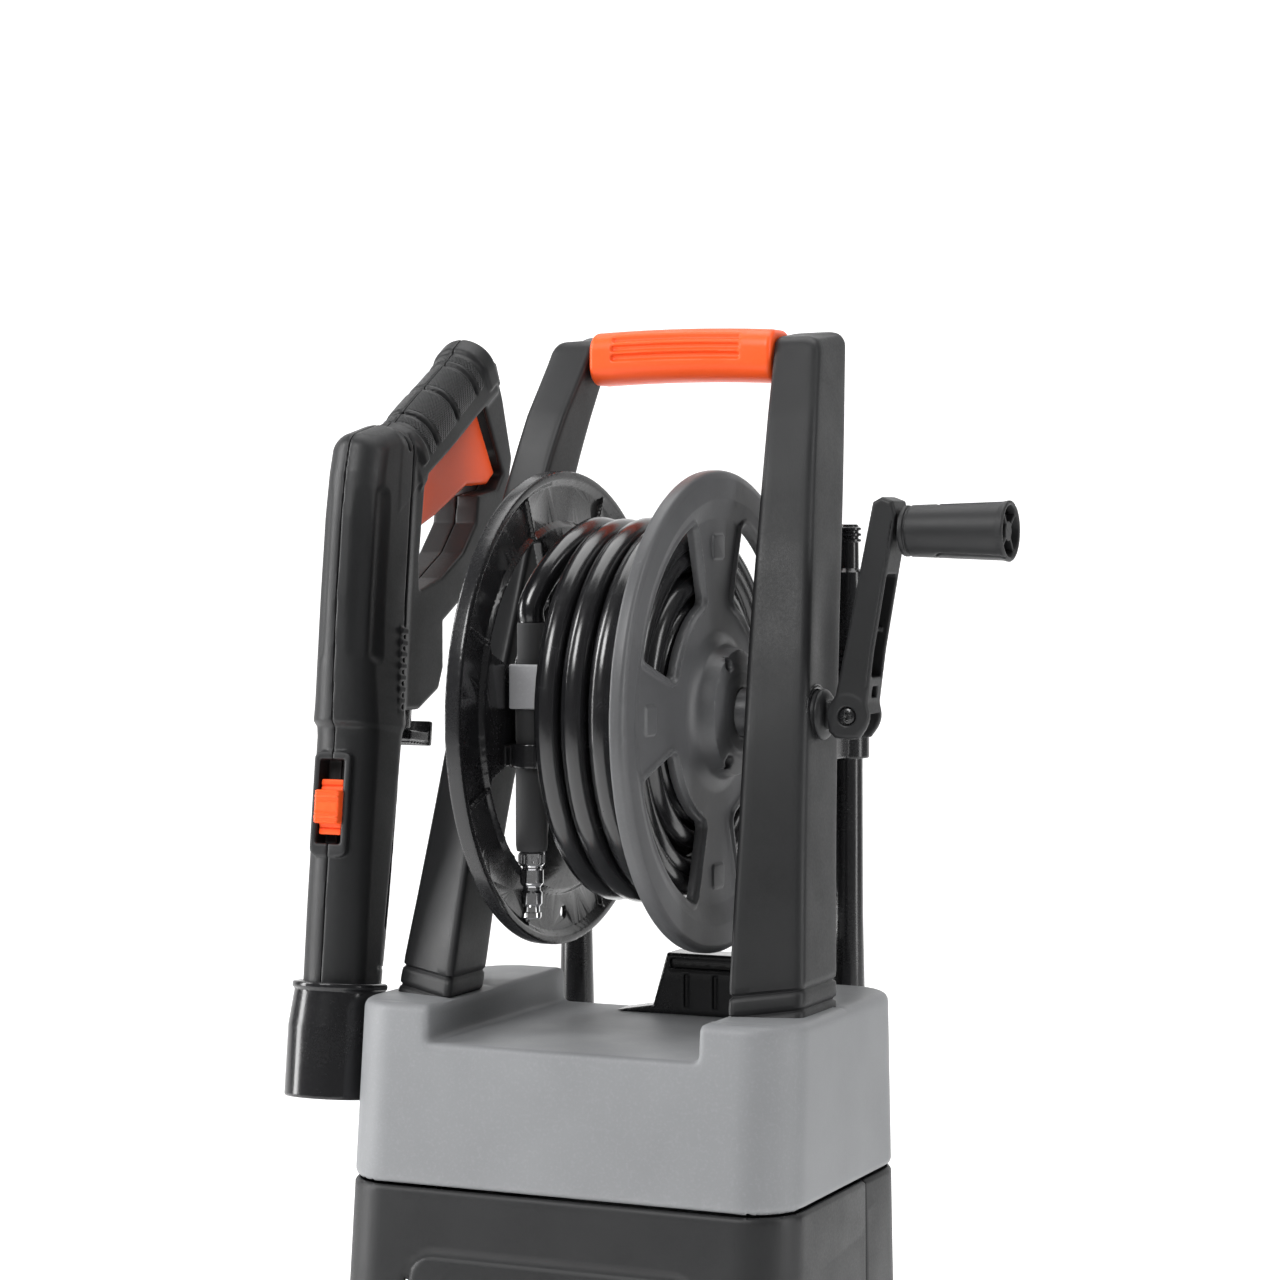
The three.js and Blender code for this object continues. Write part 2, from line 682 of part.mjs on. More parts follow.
function hoseSocket() {
  const body = tube(5.5, SOCKET_R, 142, 172, "z").translate([0, SOCKET_V, 0]);
  const lid = rod(SOCKET_R, 171, 180, "z").translate([0, SOCKET_V, 0]);
  const length = SOCKET_V - BARREL_V - VALVE_R - GAP;
  const cross = solid(new THREE.CylinderGeometry(4, 4, length, 12)).translate([
    0,
    SOCKET_V - length / 2,
    175.5,
  ]);
  return join(body, lid, cross);
}
place("gun_hose_socket", hoseSocket(), looks.black, gun);
const LATCH_V0 = BARREL_V + BARREL_R + 3.4 + LATCH_TRAVEL; // clear of the barrel's step
const LATCH_V1 = SOCKET_V + 17.5;
const latchPlate = roundedRect(22, LATCH_V1 - LATCH_V0, 4, 0, (LATCH_V0 + LATCH_V1) / 2);
const latch = cut(
  alongZ(latchPlate, LATCH_U0, LATCH_U0 + LATCH_THICK),
  alongZ(capsule([0, SOCKET_V], [0, SOCKET_V + LATCH_TRAVEL], 7), LATCH_U0 - 1, LATCH_U0 + 7),
);
place("gun_latch", latch, looks.black, gun);
const LANCE_SOCKET_R = BARREL_R - 3 - GUN_WALL - GAP;
const lanceSocket = tube(6, LANCE_SOCKET_R, BARREL_END + 1, -6, "z").translate([0, BARREL_V, 0]);
place("lance_socket", lanceSocket, looks.black, gun);

// The cup that the barrel stands in, on the side of the top cover.
const CUP_R = BARREL_R - 2.4 + 1.2;
function gunHolder() {
  const wide = roundedRect(2 * CUP_R + 5, 62, 16, 0, BARREL_V + 6);
  const body = alongZ(wide, BARREL_END - 8, 10);
  const bore = rod(CUP_R, BARREL_END - 1.5, 20, "z").translate([0, BARREL_V, 0]);
  return cut(body, bore);
}
place("gun_holder", gunHolder(), looks.black, gun);

// ---------------------------------------------------------------- stored lances
function lance(side) {
  const top = REEL_Z + LANCE_TOP;
  return turned(
    [
      [0, LANCE_Z0],
      [LANCE_R - 2, LANCE_Z0],
      [LANCE_R, LANCE_Z0 + 4],
      [LANCE_R, top],
      [LANCE_R - 3, top],
      [LANCE_R - 3, top + 14],
      [0, top + 14],
    ],
    "z",
    20,
  ).translate([side * LANCE_X, LANCE_Y, 0]);
}
function nozzle(side, fat) {
  const base = REEL_Z + LANCE_TOP + GAP;
  const tip = REEL_Z + TIP_TOP;
  const profile = [
    [0, base],
    [fat, base],
    [fat, base + 45],
    [fat - 2, base + 52],
    [5.5, base + 60],
    [5.5, tip],
    [0, tip],
  ];
  const bore = rod(LANCE_R - 3 + GAP, base - 1, base + 15, "z", 20);
  return cut(turned(profile, "z", 20), bore).translate([side * LANCE_X, LANCE_Y, 0]);
}
place("fan_lance", lance(-1), looks.black);
place("fan_nozzle", nozzle(-1, 9), looks.black);
place("turbo_lance", lance(1), looks.black);
place("turbo_nozzle", nozzle(1, 10.5), looks.black);

// A clip on the back of each leg steadies the lance.
function lanceClip(side) {
  const ring = tube(LANCE_R + GAP, LANCE_R + 3, CLIP_Z - 8, CLIP_Z + 8, "z", 20);
  const placed = ring.translate([LANCE_X, LANCE_Y, 0]);
  const legRear = legPoint(-0.2, 1, CLIP_Z + 5, 0)[1] + 1.2;
  const arm = box(LANCE_X - 4, LANCE_X + 4, legRear, LANCE_Y - LANCE_R - 1, CLIP_Z - 5, CLIP_Z + 5);
  return onSide(side, join(placed, arm));
}
place("lance_clip_left", lanceClip(-1), looks.black, upper);
place("lance_clip_right", lanceClip(1), looks.black, upper);

// ---------------------------------------------------------------- housing
// A tapered block with rounded corners between two heights of the housing.
function housing(z0, z1, shrink) {
  const section = roundedRect(2, 2, 0.28);
  const geometry = new THREE.ExtrudeGeometry(section, {
    depth: 1,
    steps: 2,
    bevelEnabled: false,
    curveSegments: 2,
  });
  const position = geometry.getAttribute("position");
  for (let i = 0; i < position.count; i++) {
    const z = z0 + position.getZ(i) * (z1 - z0);
    const t = (z - TRAY_BOTTOM) / (COVER_TOP - TRAY_BOTTOM);
    const half = THREE.MathUtils.lerp(BODY_FOOT.half, BODY_TOP.half, t) - shrink;
    const front = bodyFront(z) + shrink;
    const rear = THREE.MathUtils.lerp(BODY_FOOT.rear, BODY_TOP.rear, t) - shrink;
    const y = (front + rear) / 2 + (position.getY(i) * (rear - front)) / 2;
    position.setXYZ(i, position.getX(i) * half, y, z);
  }
  return solid(geometry);
}
function bodyFront(z) {
  const t = (z - TRAY_BOTTOM) / (COVER_TOP - TRAY_BOTTOM);
  return THREE.MathUtils.lerp(BODY_FOOT.front, BODY_TOP.front, t);
}
const shellOf = (z0, z1) => cut(housing(z0, z1, 0), housing(z0 - 1, z1 + 1, WALL));

function topCover() {
  const inside = housing(COVER_BOTTOM - 1, COVER_MIDDLE - WALL, WALL);
  const body = cut(housing(COVER_BOTTOM, COVER_TOP, 0), inside);
  const channel = box(-72, 72, -200, 200, COVER_MIDDLE, COVER_TOP + 1);
  const pocket = (side) =>
    legSolid(side, GAP, LEG_BOTTOM - 2, LEG_BOTTOM + 140, () => 0).translate([0, 0, REEL_Z]);
  return cut(body, channel, pocket(1), pocket(-1), holderGap());
}
// The holder is let into the side of the cover.
function holderGap() {
  const holder = new THREE.Matrix4().makeRotationX(-GUN_TILT);
  const space = box(-CUP_R - 2.5 - GAP, CUP_R + 2.5 + GAP, -60, 60, BARREL_END - 20, 60);
  return space.transform(holder.elements).translate([GUN_X, GUN_Y, REEL_Z + GUN_Z]);
}
place("top_cover", topCover(), looks.grey);

const seam = GAP / 2;
const frontHalf = (made) => made.intersect(box(-300, 300, -300, SPLIT_Y - seam, 0, 900));
const rearHalf = (made) => made.intersect(box(-300, 300, SPLIT_Y + seam, 300, 0, 900));
const sides = shellOf(TRAY_TOP, COVER_BOTTOM - GAP);
const KNOB_Y = bodyFront(KNOB_Z) - 3;
const atKnob = (made) => made.translate([0, 0, KNOB_Z]);
function frontCover() {
  const pad = atKnob(alongY(circle(KNOB_R + 5), KNOB_Y, KNOB_Y + 8, 12));
  const spindleHole = atKnob(alongY(circle(5), KNOB_Y - 5, KNOB_Y + 20));
  return cut(join(frontHalf(sides), pad), spindleHole);
}
place("front_cover", frontCover(), looks.shell);

function rearCover() {
  const sockets = [-1, 1].map((side) => {
    const cup = alongZ(roundedRect(24, 40, 8, 0, -8), LANCE_Z0 - 6, LANCE_Z0 + 34);
    return cup.translate([side * LANCE_X, LANCE_Y, 0]);
  });
  const bores = [-1, 1].map((side) =>
    rod(LANCE_R + GAP, LANCE_Z0 - GAP, LANCE_Z0 + 50, "z", 20).translate([side * LANCE_X, LANCE_Y, 0]),
  );
  const trimmed = sockets.map((made) => cut(made, housing(TRAY_TOP, COVER_BOTTOM, WALL)));
  const gland = alongY(circle(GLAND_R + GAP, GLAND_X, GLAND_Z), 40, 120);
  return cut(join(rearHalf(sides), ...trimmed), ...bores, gland);
}
place("rear_cover", rearCover(), looks.black);
function cableGland() {
  const body = alongY(circle(GLAND_R, GLAND_X, GLAND_Z), 62, 92);
  return cut(body, alongY(circle(4, GLAND_X, GLAND_Z), 70, 100));
}
place("cable_gland", cableGland(), looks.rubber);

function baseTray() {
  const tub = cut(
    housing(TRAY_BOTTOM + GAP, TRAY_TOP - GAP, 0),
    housing(TRAY_BOTTOM + 6, TRAY_TOP + 1, WALL),
  );
  const axleHole = rod(AXLE_R + GAP, -200, 200, "x", 16).translate([0, AXLE_Y, WHEEL_R]);
  const inletHole = alongY(circle(15, 0, INLET_Z), -200, -80, 12);
  return cut(tub, axleHole, inletHole);
}
place("base_tray", baseTray(), looks.shell);

// A black moulding behind the reel, on the floor of the channel.
function rearBracket() {
  const top = REEL_Z - FLANGE_R - 8;
  const profile = outline([
    [-34, COVER_MIDDLE + GAP],
    [-11, COVER_MIDDLE + 4],
    [-3, top],
    [70, top],
    [70, COVER_MIDDLE + GAP],
  ]);
  return alongY(profile, 42, 60);
}
place("rear_bracket", rearBracket(), looks.black);

// ---------------------------------------------------------------- wheels and feet
const axleEnd = WHEEL_X + WHEEL_WIDTH - 2;
const axle = rod(AXLE_R, -axleEnd, axleEnd, "x", 16).translate([0, AXLE_Y, WHEEL_R]);
place("wheel_axle", axle, looks.steel);
function wheel(side) {
  const [x0, x1] = [WHEEL_X, WHEEL_X + WHEEL_WIDTH];
  const body = turned(
    [
      [AXLE_R + GAP, x0],
      [20, x0],
      [20, x0 + 8],
      [WHEEL_R - 18, x0 + 8],
      [WHEEL_R - 14, x0],
      [WHEEL_R - 4, x0],
      [WHEEL_R, x0 + 5],
      [WHEEL_R, x1 - 5],
      [WHEEL_R - 4, x1],
      [WHEEL_R - 14, x1],
      [WHEEL_R - 18, x0 + 14],
      [18, x0 + 14],
      [18, x1],
      [AXLE_R + GAP, x1],
      [AXLE_R + GAP, x0],
    ],
    "x",
    30,
  );
  return onSide(side, body).translate([0, AXLE_Y, WHEEL_R]);
}
place("wheel_left", wheel(-1), looks.satin);
place("wheel_right", wheel(1), looks.satin);
const foot = (x) =>
  turned(
    [
      [0, 0],
      [FOOT_R, 0],
      [FOOT_R - 2, TRAY_BOTTOM],
      [0, TRAY_BOTTOM],
    ],
    "z",
    20,
  ).translate([x, FOOT_Y, 0]);
place("foot_left", foot(-85), looks.rubber);
place("foot_right", foot(85), looks.rubber);

// ---------------------------------------------------------------- power knob
function powerKnob() {
  const dial = alongY(circle(KNOB_R), KNOB_Y - 12, KNOB_Y - GAP, 14);
  const bar = alongY(capsule([0, 14 - KNOB_R], [0, KNOB_R - 4], 5), KNOB_Y - 20, KNOB_Y - 11);
  const spindle = alongY(circle(4.5), KNOB_Y - 1, KNOB_Y + 12);
  return atKnob(join(dial, bar, spindle));
}
place("power_knob", powerKnob(), looks.orange);

// ---------------------------------------------------------------- motor and pump
const atMotor = (made) => made.translate([0, MOTOR_Y, 0]);
place("motor_case", atMotor(tube(MOTOR_R - WALL, MOTOR_R, MOTOR_Z0, MOTOR_Z1, "z", 32)), looks.alloy);
const SWASH_Z1 = MOTOR_Z0 - 8;
const rotor = turned(
  [
    [0, SWASH_Z1 + GAP],
    [7, SWASH_Z1 + GAP],
    [7, MOTOR_Z0 + 20],
    [34, MOTOR_Z0 + 20],
    [34, MOTOR_Z1 - 25],
    [7, MOTOR_Z1 - 25],
    [7, MOTOR_Z1 + 22],
    [0, MOTOR_Z1 + 22],
  ],
  "z",
  24,
);
place("rotor_shaft", atMotor(rotor), looks.steel);
function coolingFan() {
  const hub = tube(7 + GAP, 14, MOTOR_Z1 + 5, MOTOR_Z1 + 20, "z", 16);
  const blades = [];
  for (let i = 0; i < 8; i++) {
    const blade = box(12, 46, -1.2, 1.2, MOTOR_Z1 + 6, MOTOR_Z1 + 18);
    blades.push(blade.rotate([0, 0, 45 * i]));
  }
  return join(hub, ...blades);
}
place("cooling_fan", atMotor(coolingFan()), looks.black);
// The swash plate is a disc cut at a slant on its pump side.
const PLUNGER_TOP = PUMP_Z1 + 5;
function swashPlate() {
  const disc = rod(30, PLUNGER_TOP + GAP, SWASH_Z1, "z", 24);
  const slant = box(-60, 60, -60, 60, -40, 0).rotate([8, 0, 0]);
  return cut(disc, slant.translate([0, 0, PLUNGER_TOP + 5]));
}
place("swash_plate", atMotor(swashPlate()), looks.steel);
const plungerSpot = (i) => {
  const angle = (i * 2 * Math.PI) / 3 + Math.PI / 2;
  return [PLUNGER_CIRCLE * Math.cos(angle), PLUNGER_CIRCLE * Math.sin(angle), 0];
};
const bores = [0, 1, 2].map((i) =>
  rod(PLUNGER_R + GAP, PUMP_Z0 + 4, PUMP_Z1 + 1, "z", 16).translate(plungerSpot(i)),
);
place("pump_body", atMotor(cut(rod(PUMP_R, PUMP_Z0, PUMP_Z1, "z", 32), ...bores)), looks.alloy);
for (const i of [0, 1, 2]) {
  const foot = PUMP_Z0 + 5 + PLUNGER_STROKE;
  const plunger = rod(PLUNGER_R, foot, PLUNGER_TOP, "z", 16).translate(plungerSpot(i));
  place("pump_plunger_" + (i + 1), atMotor(plunger), looks.steel);
}
// The head carries the inlet pipe to the front and the outlet elbow to the left.
const OUTLET_X = -62;
const INLET_Y = BODY_FOOT.front + 22;
function pumpHead() {
  const block = atMotor(rod(PUMP_R, PUMP_Z0 - 38, PUMP_Z0 - GAP, "z", 32));
  const inlet = alongY(circle(8, 0, INLET_Z), INLET_Y, MOTOR_Y);
  const outlet = alongX(circle(6, MOTOR_Y, INLET_Z), OUTLET_X, 0);
  const elbow = rod(6, INLET_Z - 6, INLET_Z + 25, "z", 16).translate([OUTLET_X, MOTOR_Y, 0]);
  return join(block, inlet, outlet, elbow);
}
place("pump_head", pumpHead(), looks.alloy);
function inletCoupling() {
  const collar = alongY(circle(14, 0, INLET_Z), INLET_Y - 36, INLET_Y - GAP, 12);
  return cut(collar, alongY(circle(8, 0, INLET_Z), INLET_Y - 40, INLET_Y - 10));
}
place("inlet_coupling", inletCoupling(), looks.black);

// The feed hose runs from the pump up inside the left leg to the swivel.
const FEED_ROUTE = [
  [OUTLET_X, MOTOR_Y, INLET_Z + 25 + GAP],
  [OUTLET_X, MOTOR_Y, INLET_Z + 50],
  [-70, -30, REEL_Z - 400],
  [-88, -50, REEL_Z - 270],
  [-95, -50, REEL_Z - 200],
  [-92, -38, REEL_Z - 130],
  [-89, -17, REEL_Z - 70],
  [-87, 0, REEL_Z - 44],
  [-87, 0, REEL_Z - 34 - GAP],
];
place("feed_hose", piped(FEED_ROUTE, FEED_HOSE_R, 40, 6), looks.hose);

// ---------------------------------------------------------------- frame
// The origin is the middle of the box that the machine stands in, on the floor,
// without the hose on the reel.
const HOSE_NODES = ["hose_coil", "hose_tail", "hose_sleeve", "hose_nipple"];
const room = new THREE.Box3();
machine.updateMatrixWorld(true);
machine.traverse((piece) => {
  if (piece.isMesh && !HOSE_NODES.includes(piece.name)) room.expandByObject(piece, true);
});
const middle = room.getCenter(new THREE.Vector3());
const root = new THREE.Group();
root.name = "pressure_washer";
machine.position.set(-middle.x, -middle.y, -room.min.z);
root.add(machine);

export default root;
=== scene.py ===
"""The looks of an upright pressure washer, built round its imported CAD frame.

Lengths are millimetres in each piece's own frame and metres in the scene. Reel frame: x towards the crank,
y back, z up, from the middle of the reel. Gun frame: x across, y = v back, z = u up the barrel.
"""
import json
import math

import bmesh
import bpy
import numpy as np
from mathutils import Matrix, Vector


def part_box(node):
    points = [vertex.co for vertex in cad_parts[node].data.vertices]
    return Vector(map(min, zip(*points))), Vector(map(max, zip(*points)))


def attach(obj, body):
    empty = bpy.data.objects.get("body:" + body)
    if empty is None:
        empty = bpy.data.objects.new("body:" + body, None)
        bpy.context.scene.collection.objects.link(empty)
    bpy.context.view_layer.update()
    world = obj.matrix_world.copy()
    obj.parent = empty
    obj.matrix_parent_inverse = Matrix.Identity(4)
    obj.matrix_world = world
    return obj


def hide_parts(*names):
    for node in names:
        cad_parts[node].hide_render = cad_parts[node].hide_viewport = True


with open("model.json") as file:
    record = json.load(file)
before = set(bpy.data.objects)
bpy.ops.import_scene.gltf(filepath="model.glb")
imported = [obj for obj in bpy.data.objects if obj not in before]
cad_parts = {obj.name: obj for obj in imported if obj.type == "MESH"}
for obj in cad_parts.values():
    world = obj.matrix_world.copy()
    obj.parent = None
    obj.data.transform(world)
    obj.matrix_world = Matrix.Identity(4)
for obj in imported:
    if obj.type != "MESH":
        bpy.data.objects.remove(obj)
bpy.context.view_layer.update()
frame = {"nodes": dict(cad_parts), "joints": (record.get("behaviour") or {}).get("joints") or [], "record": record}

# ---------------------------------------------------------------- frames
MM = 0.001
JOINTS = {joint["name"]: joint for joint in frame["joints"]}
SLOT_OF = {part["node"]: part["material_slot"] for part in frame["record"]["subparts"]}
BODIES = frame["record"]["behaviour"]["bodies"]
BODY_OF = {node: body for body, nodes in BODIES.items() for node in nodes}
ACROSS = Vector((1, 0, 0))
REEL = Vector(JOINTS["reel_spin"]["pos_m"])


def axes(origin, x, y, z):
    """The matrix from millimetres along three axes to the row frame."""
    turn = Matrix((x, y, z)).transposed().to_4x4()
    return Matrix.Translation(origin) @ turn @ Matrix.Scale(MM, 4)


REEL_FRAME = axes(REEL, ACROSS, Vector((0, 1, 0)), Vector((0, 0, 1)))
GUN_U = Vector(JOINTS["gun_lift"]["axis"])
GUN_V = GUN_U.cross(ACROSS)
TRIGGER_V, TRIGGER_U = 21, 262
gun_origin = Vector(JOINTS["trigger_pull"]["pos_m"]) - (TRIGGER_V * GUN_V + TRIGGER_U * GUN_U) * MM
GUN_FRAME = axes(gun_origin, ACROSS, GUN_V, GUN_U)


def reach(node):
    """A CAD node's box in the reel frame, in millimetres."""
    low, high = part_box(node)
    return [(low[i] - REEL[i]) / MM for i in range(3)], [(high[i] - REEL[i]) / MM for i in range(3)]


# ---------------------------------------------------------------- camera
scene = bpy.context.scene
CAMERA_FROM_REEL = Vector((0.68568, -1.50914, 0.09577))
CAMERA_YAW = math.radians(24.4)
CAMERA_PITCH = math.radians(-2.1)


def add_camera():
    data = bpy.data.cameras.new("camera")
    data.lens = 92.8
    data.sensor_width = 36
    camera = bpy.data.objects.new("camera", data)
    camera.location = REEL + CAMERA_FROM_REEL
    camera.rotation_euler = (math.pi / 2 + CAMERA_PITCH, 0, CAMERA_YAW)
    scene.collection.objects.link(camera)
    scene.camera = camera


add_camera()

# ---------------------------------------------------------------- materials
LOOKS = {}


class Nodes:
    """Short calls for building one material's nodes."""

    def __init__(self, name):
        self.material = bpy.data.materials.new(name)
        self.material.use_nodes = True
        self.tree = self.material.node_tree
        self.shader = self.tree.nodes["Principled BSDF"]
        self.place = self.node("ShaderNodeTexCoord").outputs["Object"]

    def node(self, kind, inputs=None, **settings):
        made = self.tree.nodes.new(kind)
        for key, value in settings.items():
            setattr(made, key, value)
        for key, value in (inputs or {}).items():
            if isinstance(value, bpy.types.NodeSocket):
                self.tree.links.new(value, made.inputs[key])
            else:
                made.inputs[key].default_value = value
        return made

    def noise(self, size_mm, detail=2, stretch=(1, 1, 1)):
        """Noise with features of about that size."""
        where = self.node("ShaderNodeMapping", {"Vector": self.place, "Scale": stretch}).outputs[0]
        settings = {"Vector": where, "Scale": 1000 / size_mm, "Detail": detail}
        return self.node("ShaderNodeTexNoise", settings).outputs[0]

    def fit(self, value, low, high, start=0.3, end=0.7):
        """A value between start and end, laid out from low to high."""
        inputs = {"Value": value, "From Min": start, "From Max": end, "To Min": low, "To Max": high}
        return self.node("ShaderNodeMapRange", inputs).outputs[0]

    def blend(self, amount, first, second):
        inputs = {"Factor": amount, 6: first, 7: second}
        return self.node("ShaderNodeMix", inputs, data_type="RGBA").outputs[2]

    def math(self, operation, first, second):
        return self.node("ShaderNodeMath", {0: first, 1: second}, operation=operation).outputs[0]

    def bump(self, height, depth_mm, strength=1.0, under=None):
        inputs = {"Height": height, "Distance": depth_mm * MM, "Strength": strength}
        if under is not None:
            inputs["Normal"] = under
        return self.node("ShaderNodeBump", inputs).outputs[0]

    def worn(self):
        """Near 1 along the sharp outer edges."""
        point = self.node("ShaderNodeNewGeometry").outputs["Pointiness"]
        return self.fit(point, 0, 1, 0.52, 0.6)

    def link(self, value, socket):
        self.tree.links.new(value, self.shader.inputs[socket])


def shade(colour, factor):
    return (*[min(1, c * factor) for c in colour], 1)


def moulded(name, colour, rough, grain_mm=0.5, grain_depth=0.05, coat=0.0, vary=0.12, wear=1.5):
    """Injection-moulded plastic: a fine grain, flow marks, dust specks and paler edges."""
    n = Nodes(name)
    flow = n.noise(70, 3)
    speck = n.noise(1.4, 3)
    base = n.blend(n.fit(flow, 0, 1), shade(colour, 1 - vary), shade(colour, 1 + vary))
    dusted = n.blend(n.fit(speck, 0, 0.35, 0.5, 0.8), base, shade(colour, 1.35))
    n.link(n.blend(n.math("MULTIPLY", n.worn(), 0.5), dusted, shade(colour, wear)), "Base Color")
    smear = n.math("ADD", n.fit(n.noise(28, 4), -0.05, 0.05), n.fit(speck, rough - 0.04, rough + 0.04))
    n.link(smear, "Roughness")
    coarse = n.bump(flow, 0.25, 0.25)
    n.link(n.bump(n.noise(grain_mm, 2), grain_depth, 0.55, coarse), "Normal")
    n.shader.inputs["Coat Weight"].default_value = coat
    n.shader.inputs["Coat Roughness"].default_value = 0.12
    n.shader.inputs["Specular IOR Level"].default_value = 0.36
    return n


def knurled(name, colour, rough):
    """Moulded plastic with a fine diamond knurl, laid in the gun's own plane."""
    n = moulded(name, colour, rough)
    parts = n.node("ShaderNodeSeparateXYZ", {"Vector": n.place})
    along = n.math("MULTIPLY", n.math("ADD", parts.outputs[1], parts.outputs[2]), 2600)
    back = n.math("MULTIPLY", n.math("SUBTRACT", parts.outputs[2], parts.outputs[0]), 2600)
    weave = n.math("MULTIPLY", n.math("SINE", along, 0), n.math("SINE", back, 0))
    under = n.shader.inputs["Normal"].links[0].from_socket
    n.link(n.bump(weave, 0.35, 0.8, under), "Normal")
    return n


def metal(name, colour, rough, streak=(1, 1, 12), streak_depth=0.01, plated=False):
    """Metal with drawn streaks, a few stains and fine scratches."""
    n = Nodes(name)
    lines = n.noise(3, 4, streak)
    stains = n.noise(18, 3)
    n.link(n.blend(n.fit(stains, 0, 1), shade(colour, 0.86), shade(colour, 1.06)), "Base Color")
    stained = rough + (0.04 if plated else 0.12)
    spread = n.math("ADD", n.fit(lines, -0.06, 0.06), n.fit(stains, rough, stained))
    n.link(spread, "Roughness")
    n.link(n.bump(lines, streak_depth, 0.4), "Normal")
    n.shader.inputs["Metallic"].default_value = 1
    return n


def jacket(name, colour):
    """The hose's smooth PVC jacket: glossy, with scuffs along it and a faint orange peel."""
    n = Nodes(name)
    scuff = n.noise(9, 5, (0.35, 1, 1))
    fine = n.noise(1.1, 2)
    n.link(n.blend(n.fit(scuff, 0, 1, 0.52, 0.75), shade(colour, 1), shade(colour, 1.5)), "Base Color")
    n.link(n.math("ADD", n.fit(scuff, 0.2, 0.27, 0.4, 0.75), n.fit(fine, -0.03, 0.03)), "Roughness")
    n.link(n.bump(fine, 0.03, 0.35, n.bump(scuff, 0.06, 0.2)), "Normal")
    n.shader.inputs["Coat Weight"].default_value = 0.3
    n.shader.inputs["Coat Roughness"].default_value = 0.18
    return n


def rubbery(name, colour):
    n = moulded(name, colour, 0.75, grain_mm=0.8, grain_depth=0.12, wear=1.9)
    n.shader.inputs["Sheen Weight"].default_value = 0.15
    n.shader.inputs["Sheen Roughness"].default_value = 0.5
    return n


DARK = (0.0145, 0.0148, 0.0156)
LOOKS["leg_plastic"] = moulded("leg_plastic", DARK, 0.46, grain_mm=0.6, grain_depth=0.07)
GREY = (0.215, 0.22, 0.227)
LOOKS["cover_grey"] = moulded("cover_grey", GREY, 0.5, grain_mm=0.7, grain_depth=0.08, vary=0.06)
BLACK = (0.011, 0.011, 0.012)
LOOKS["black_plastic"] = moulded("black_plastic", BLACK, 0.24, grain_depth=0.015, coat=0.25)
# satin_black is set well above the plastic's own near-black as painted light: the lighter base stands in for the
# key light falling on the crank-side flange's face, and the drum and the CAD pieces in this slot carry it too
LOOKS["satin_black"] = moulded("satin_black", (0.082, 0.083, 0.086), 0.38, grain_depth=0.05)
ORANGE = (1.0, 0.105, 0.018)
LOOKS["orange_plastic"] = moulded("orange_plastic", ORANGE, 0.38, grain_depth=0.03, vary=0.04, wear=1.1)
LOOKS["rubber"] = rubbery("rubber", (0.02, 0.02, 0.021))
LOOKS["hose"] = jacket("hose", (0.009, 0.009, 0.01))
LOOKS["tyre"] = rubbery("tyre", (0.018, 0.018, 0.019))
LOOKS["steel"] = metal("steel", (0.55, 0.56, 0.58), 0.28)
LOOKS["chrome"] = metal("chrome", (0.82, 0.82, 0.83), 0.05, streak_depth=0.004, plated=True)
LOOKS["brass"] = metal("brass", (0.69, 0.52, 0.22), 0.26, streak=(12, 12, 1))
LOOKS["alloy"] = metal("alloy", (0.6, 0.61, 0.63), 0.42, streak=(1, 1, 1), streak_depth=0.06)
LOOKS["knurl"] = knurled("knurl", shade(DARK, 1.3)[:3], 0.42)
LOOKS["label_grey"] = moulded("label_grey", (0.3, 0.3, 0.31), 0.38, vary=0.05)


# ---------------------------------------------------------------- meshes
def piece(name, made, body, slot, replaces=(), place=REEL_FRAME, sharp=32, look=None):
    """One object from (points in millimetres, faces), riding on a CAD body."""
    points, faces = made
    mesh = bpy.data.meshes.new(name)
    whole = np.c_[np.asarray(points, float), np.ones(len(points))] @ np.array(place).T
    mesh.from_pydata(whole[:, :3].tolist(), [], [list(face) for face in faces])
    obj = bpy.data.objects.new(name, mesh)
    scene.collection.objects.link(obj)
    turn_out(mesh)
    mesh.polygons.foreach_set("use_smooth", [True] * len(mesh.polygons))
    mesh.set_sharp_from_angle(angle=math.radians(sharp))
    mesh.materials.append(LOOKS[look or slot].material)
    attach(obj, body)
    if replaces:
        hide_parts(*replaces)
    return obj


def turn_out(mesh):
    bm = bmesh.new()
    bm.from_mesh(mesh)
    bmesh.ops.recalc_face_normals(bm, faces=bm.faces)
    bm.to_mesh(mesh)
    bm.free()


def together(*parts):
    """Several (points, faces) as one."""
    points, faces, start = [], [], 0
    for part_points, part_faces in parts:
        points.extend(np.asarray(part_points, float).tolist())
        faces.extend([[start + i for i in face] for face in part_faces])
        start += len(part_points)
    return points, faces


def loft(rings, closed=False):
    """Quads between rings of points, with the ends filled unless the rings close on themselves."""
    rings = np.asarray(rings, float)
    count, around = rings.shape[:2]
    faces = []
    for i in range(count if closed else count - 1):
        a, b = i * around, (i + 1) % count * around
        for j in range(around):
            k = (j + 1) % around
            faces.append((a + j, a + k, b + k, b + j))
    points = rings.reshape(-1, 3).tolist()
    if not closed:
        for first in (0, (count - 1) * around):
            middle = np.mean(points[first:first + around], axis=0).tolist()
            points.append(middle)
            faces.extend([(first + j, first + (j + 1) % around, len(points) - 1) for j in range(around)])
    return points, faces


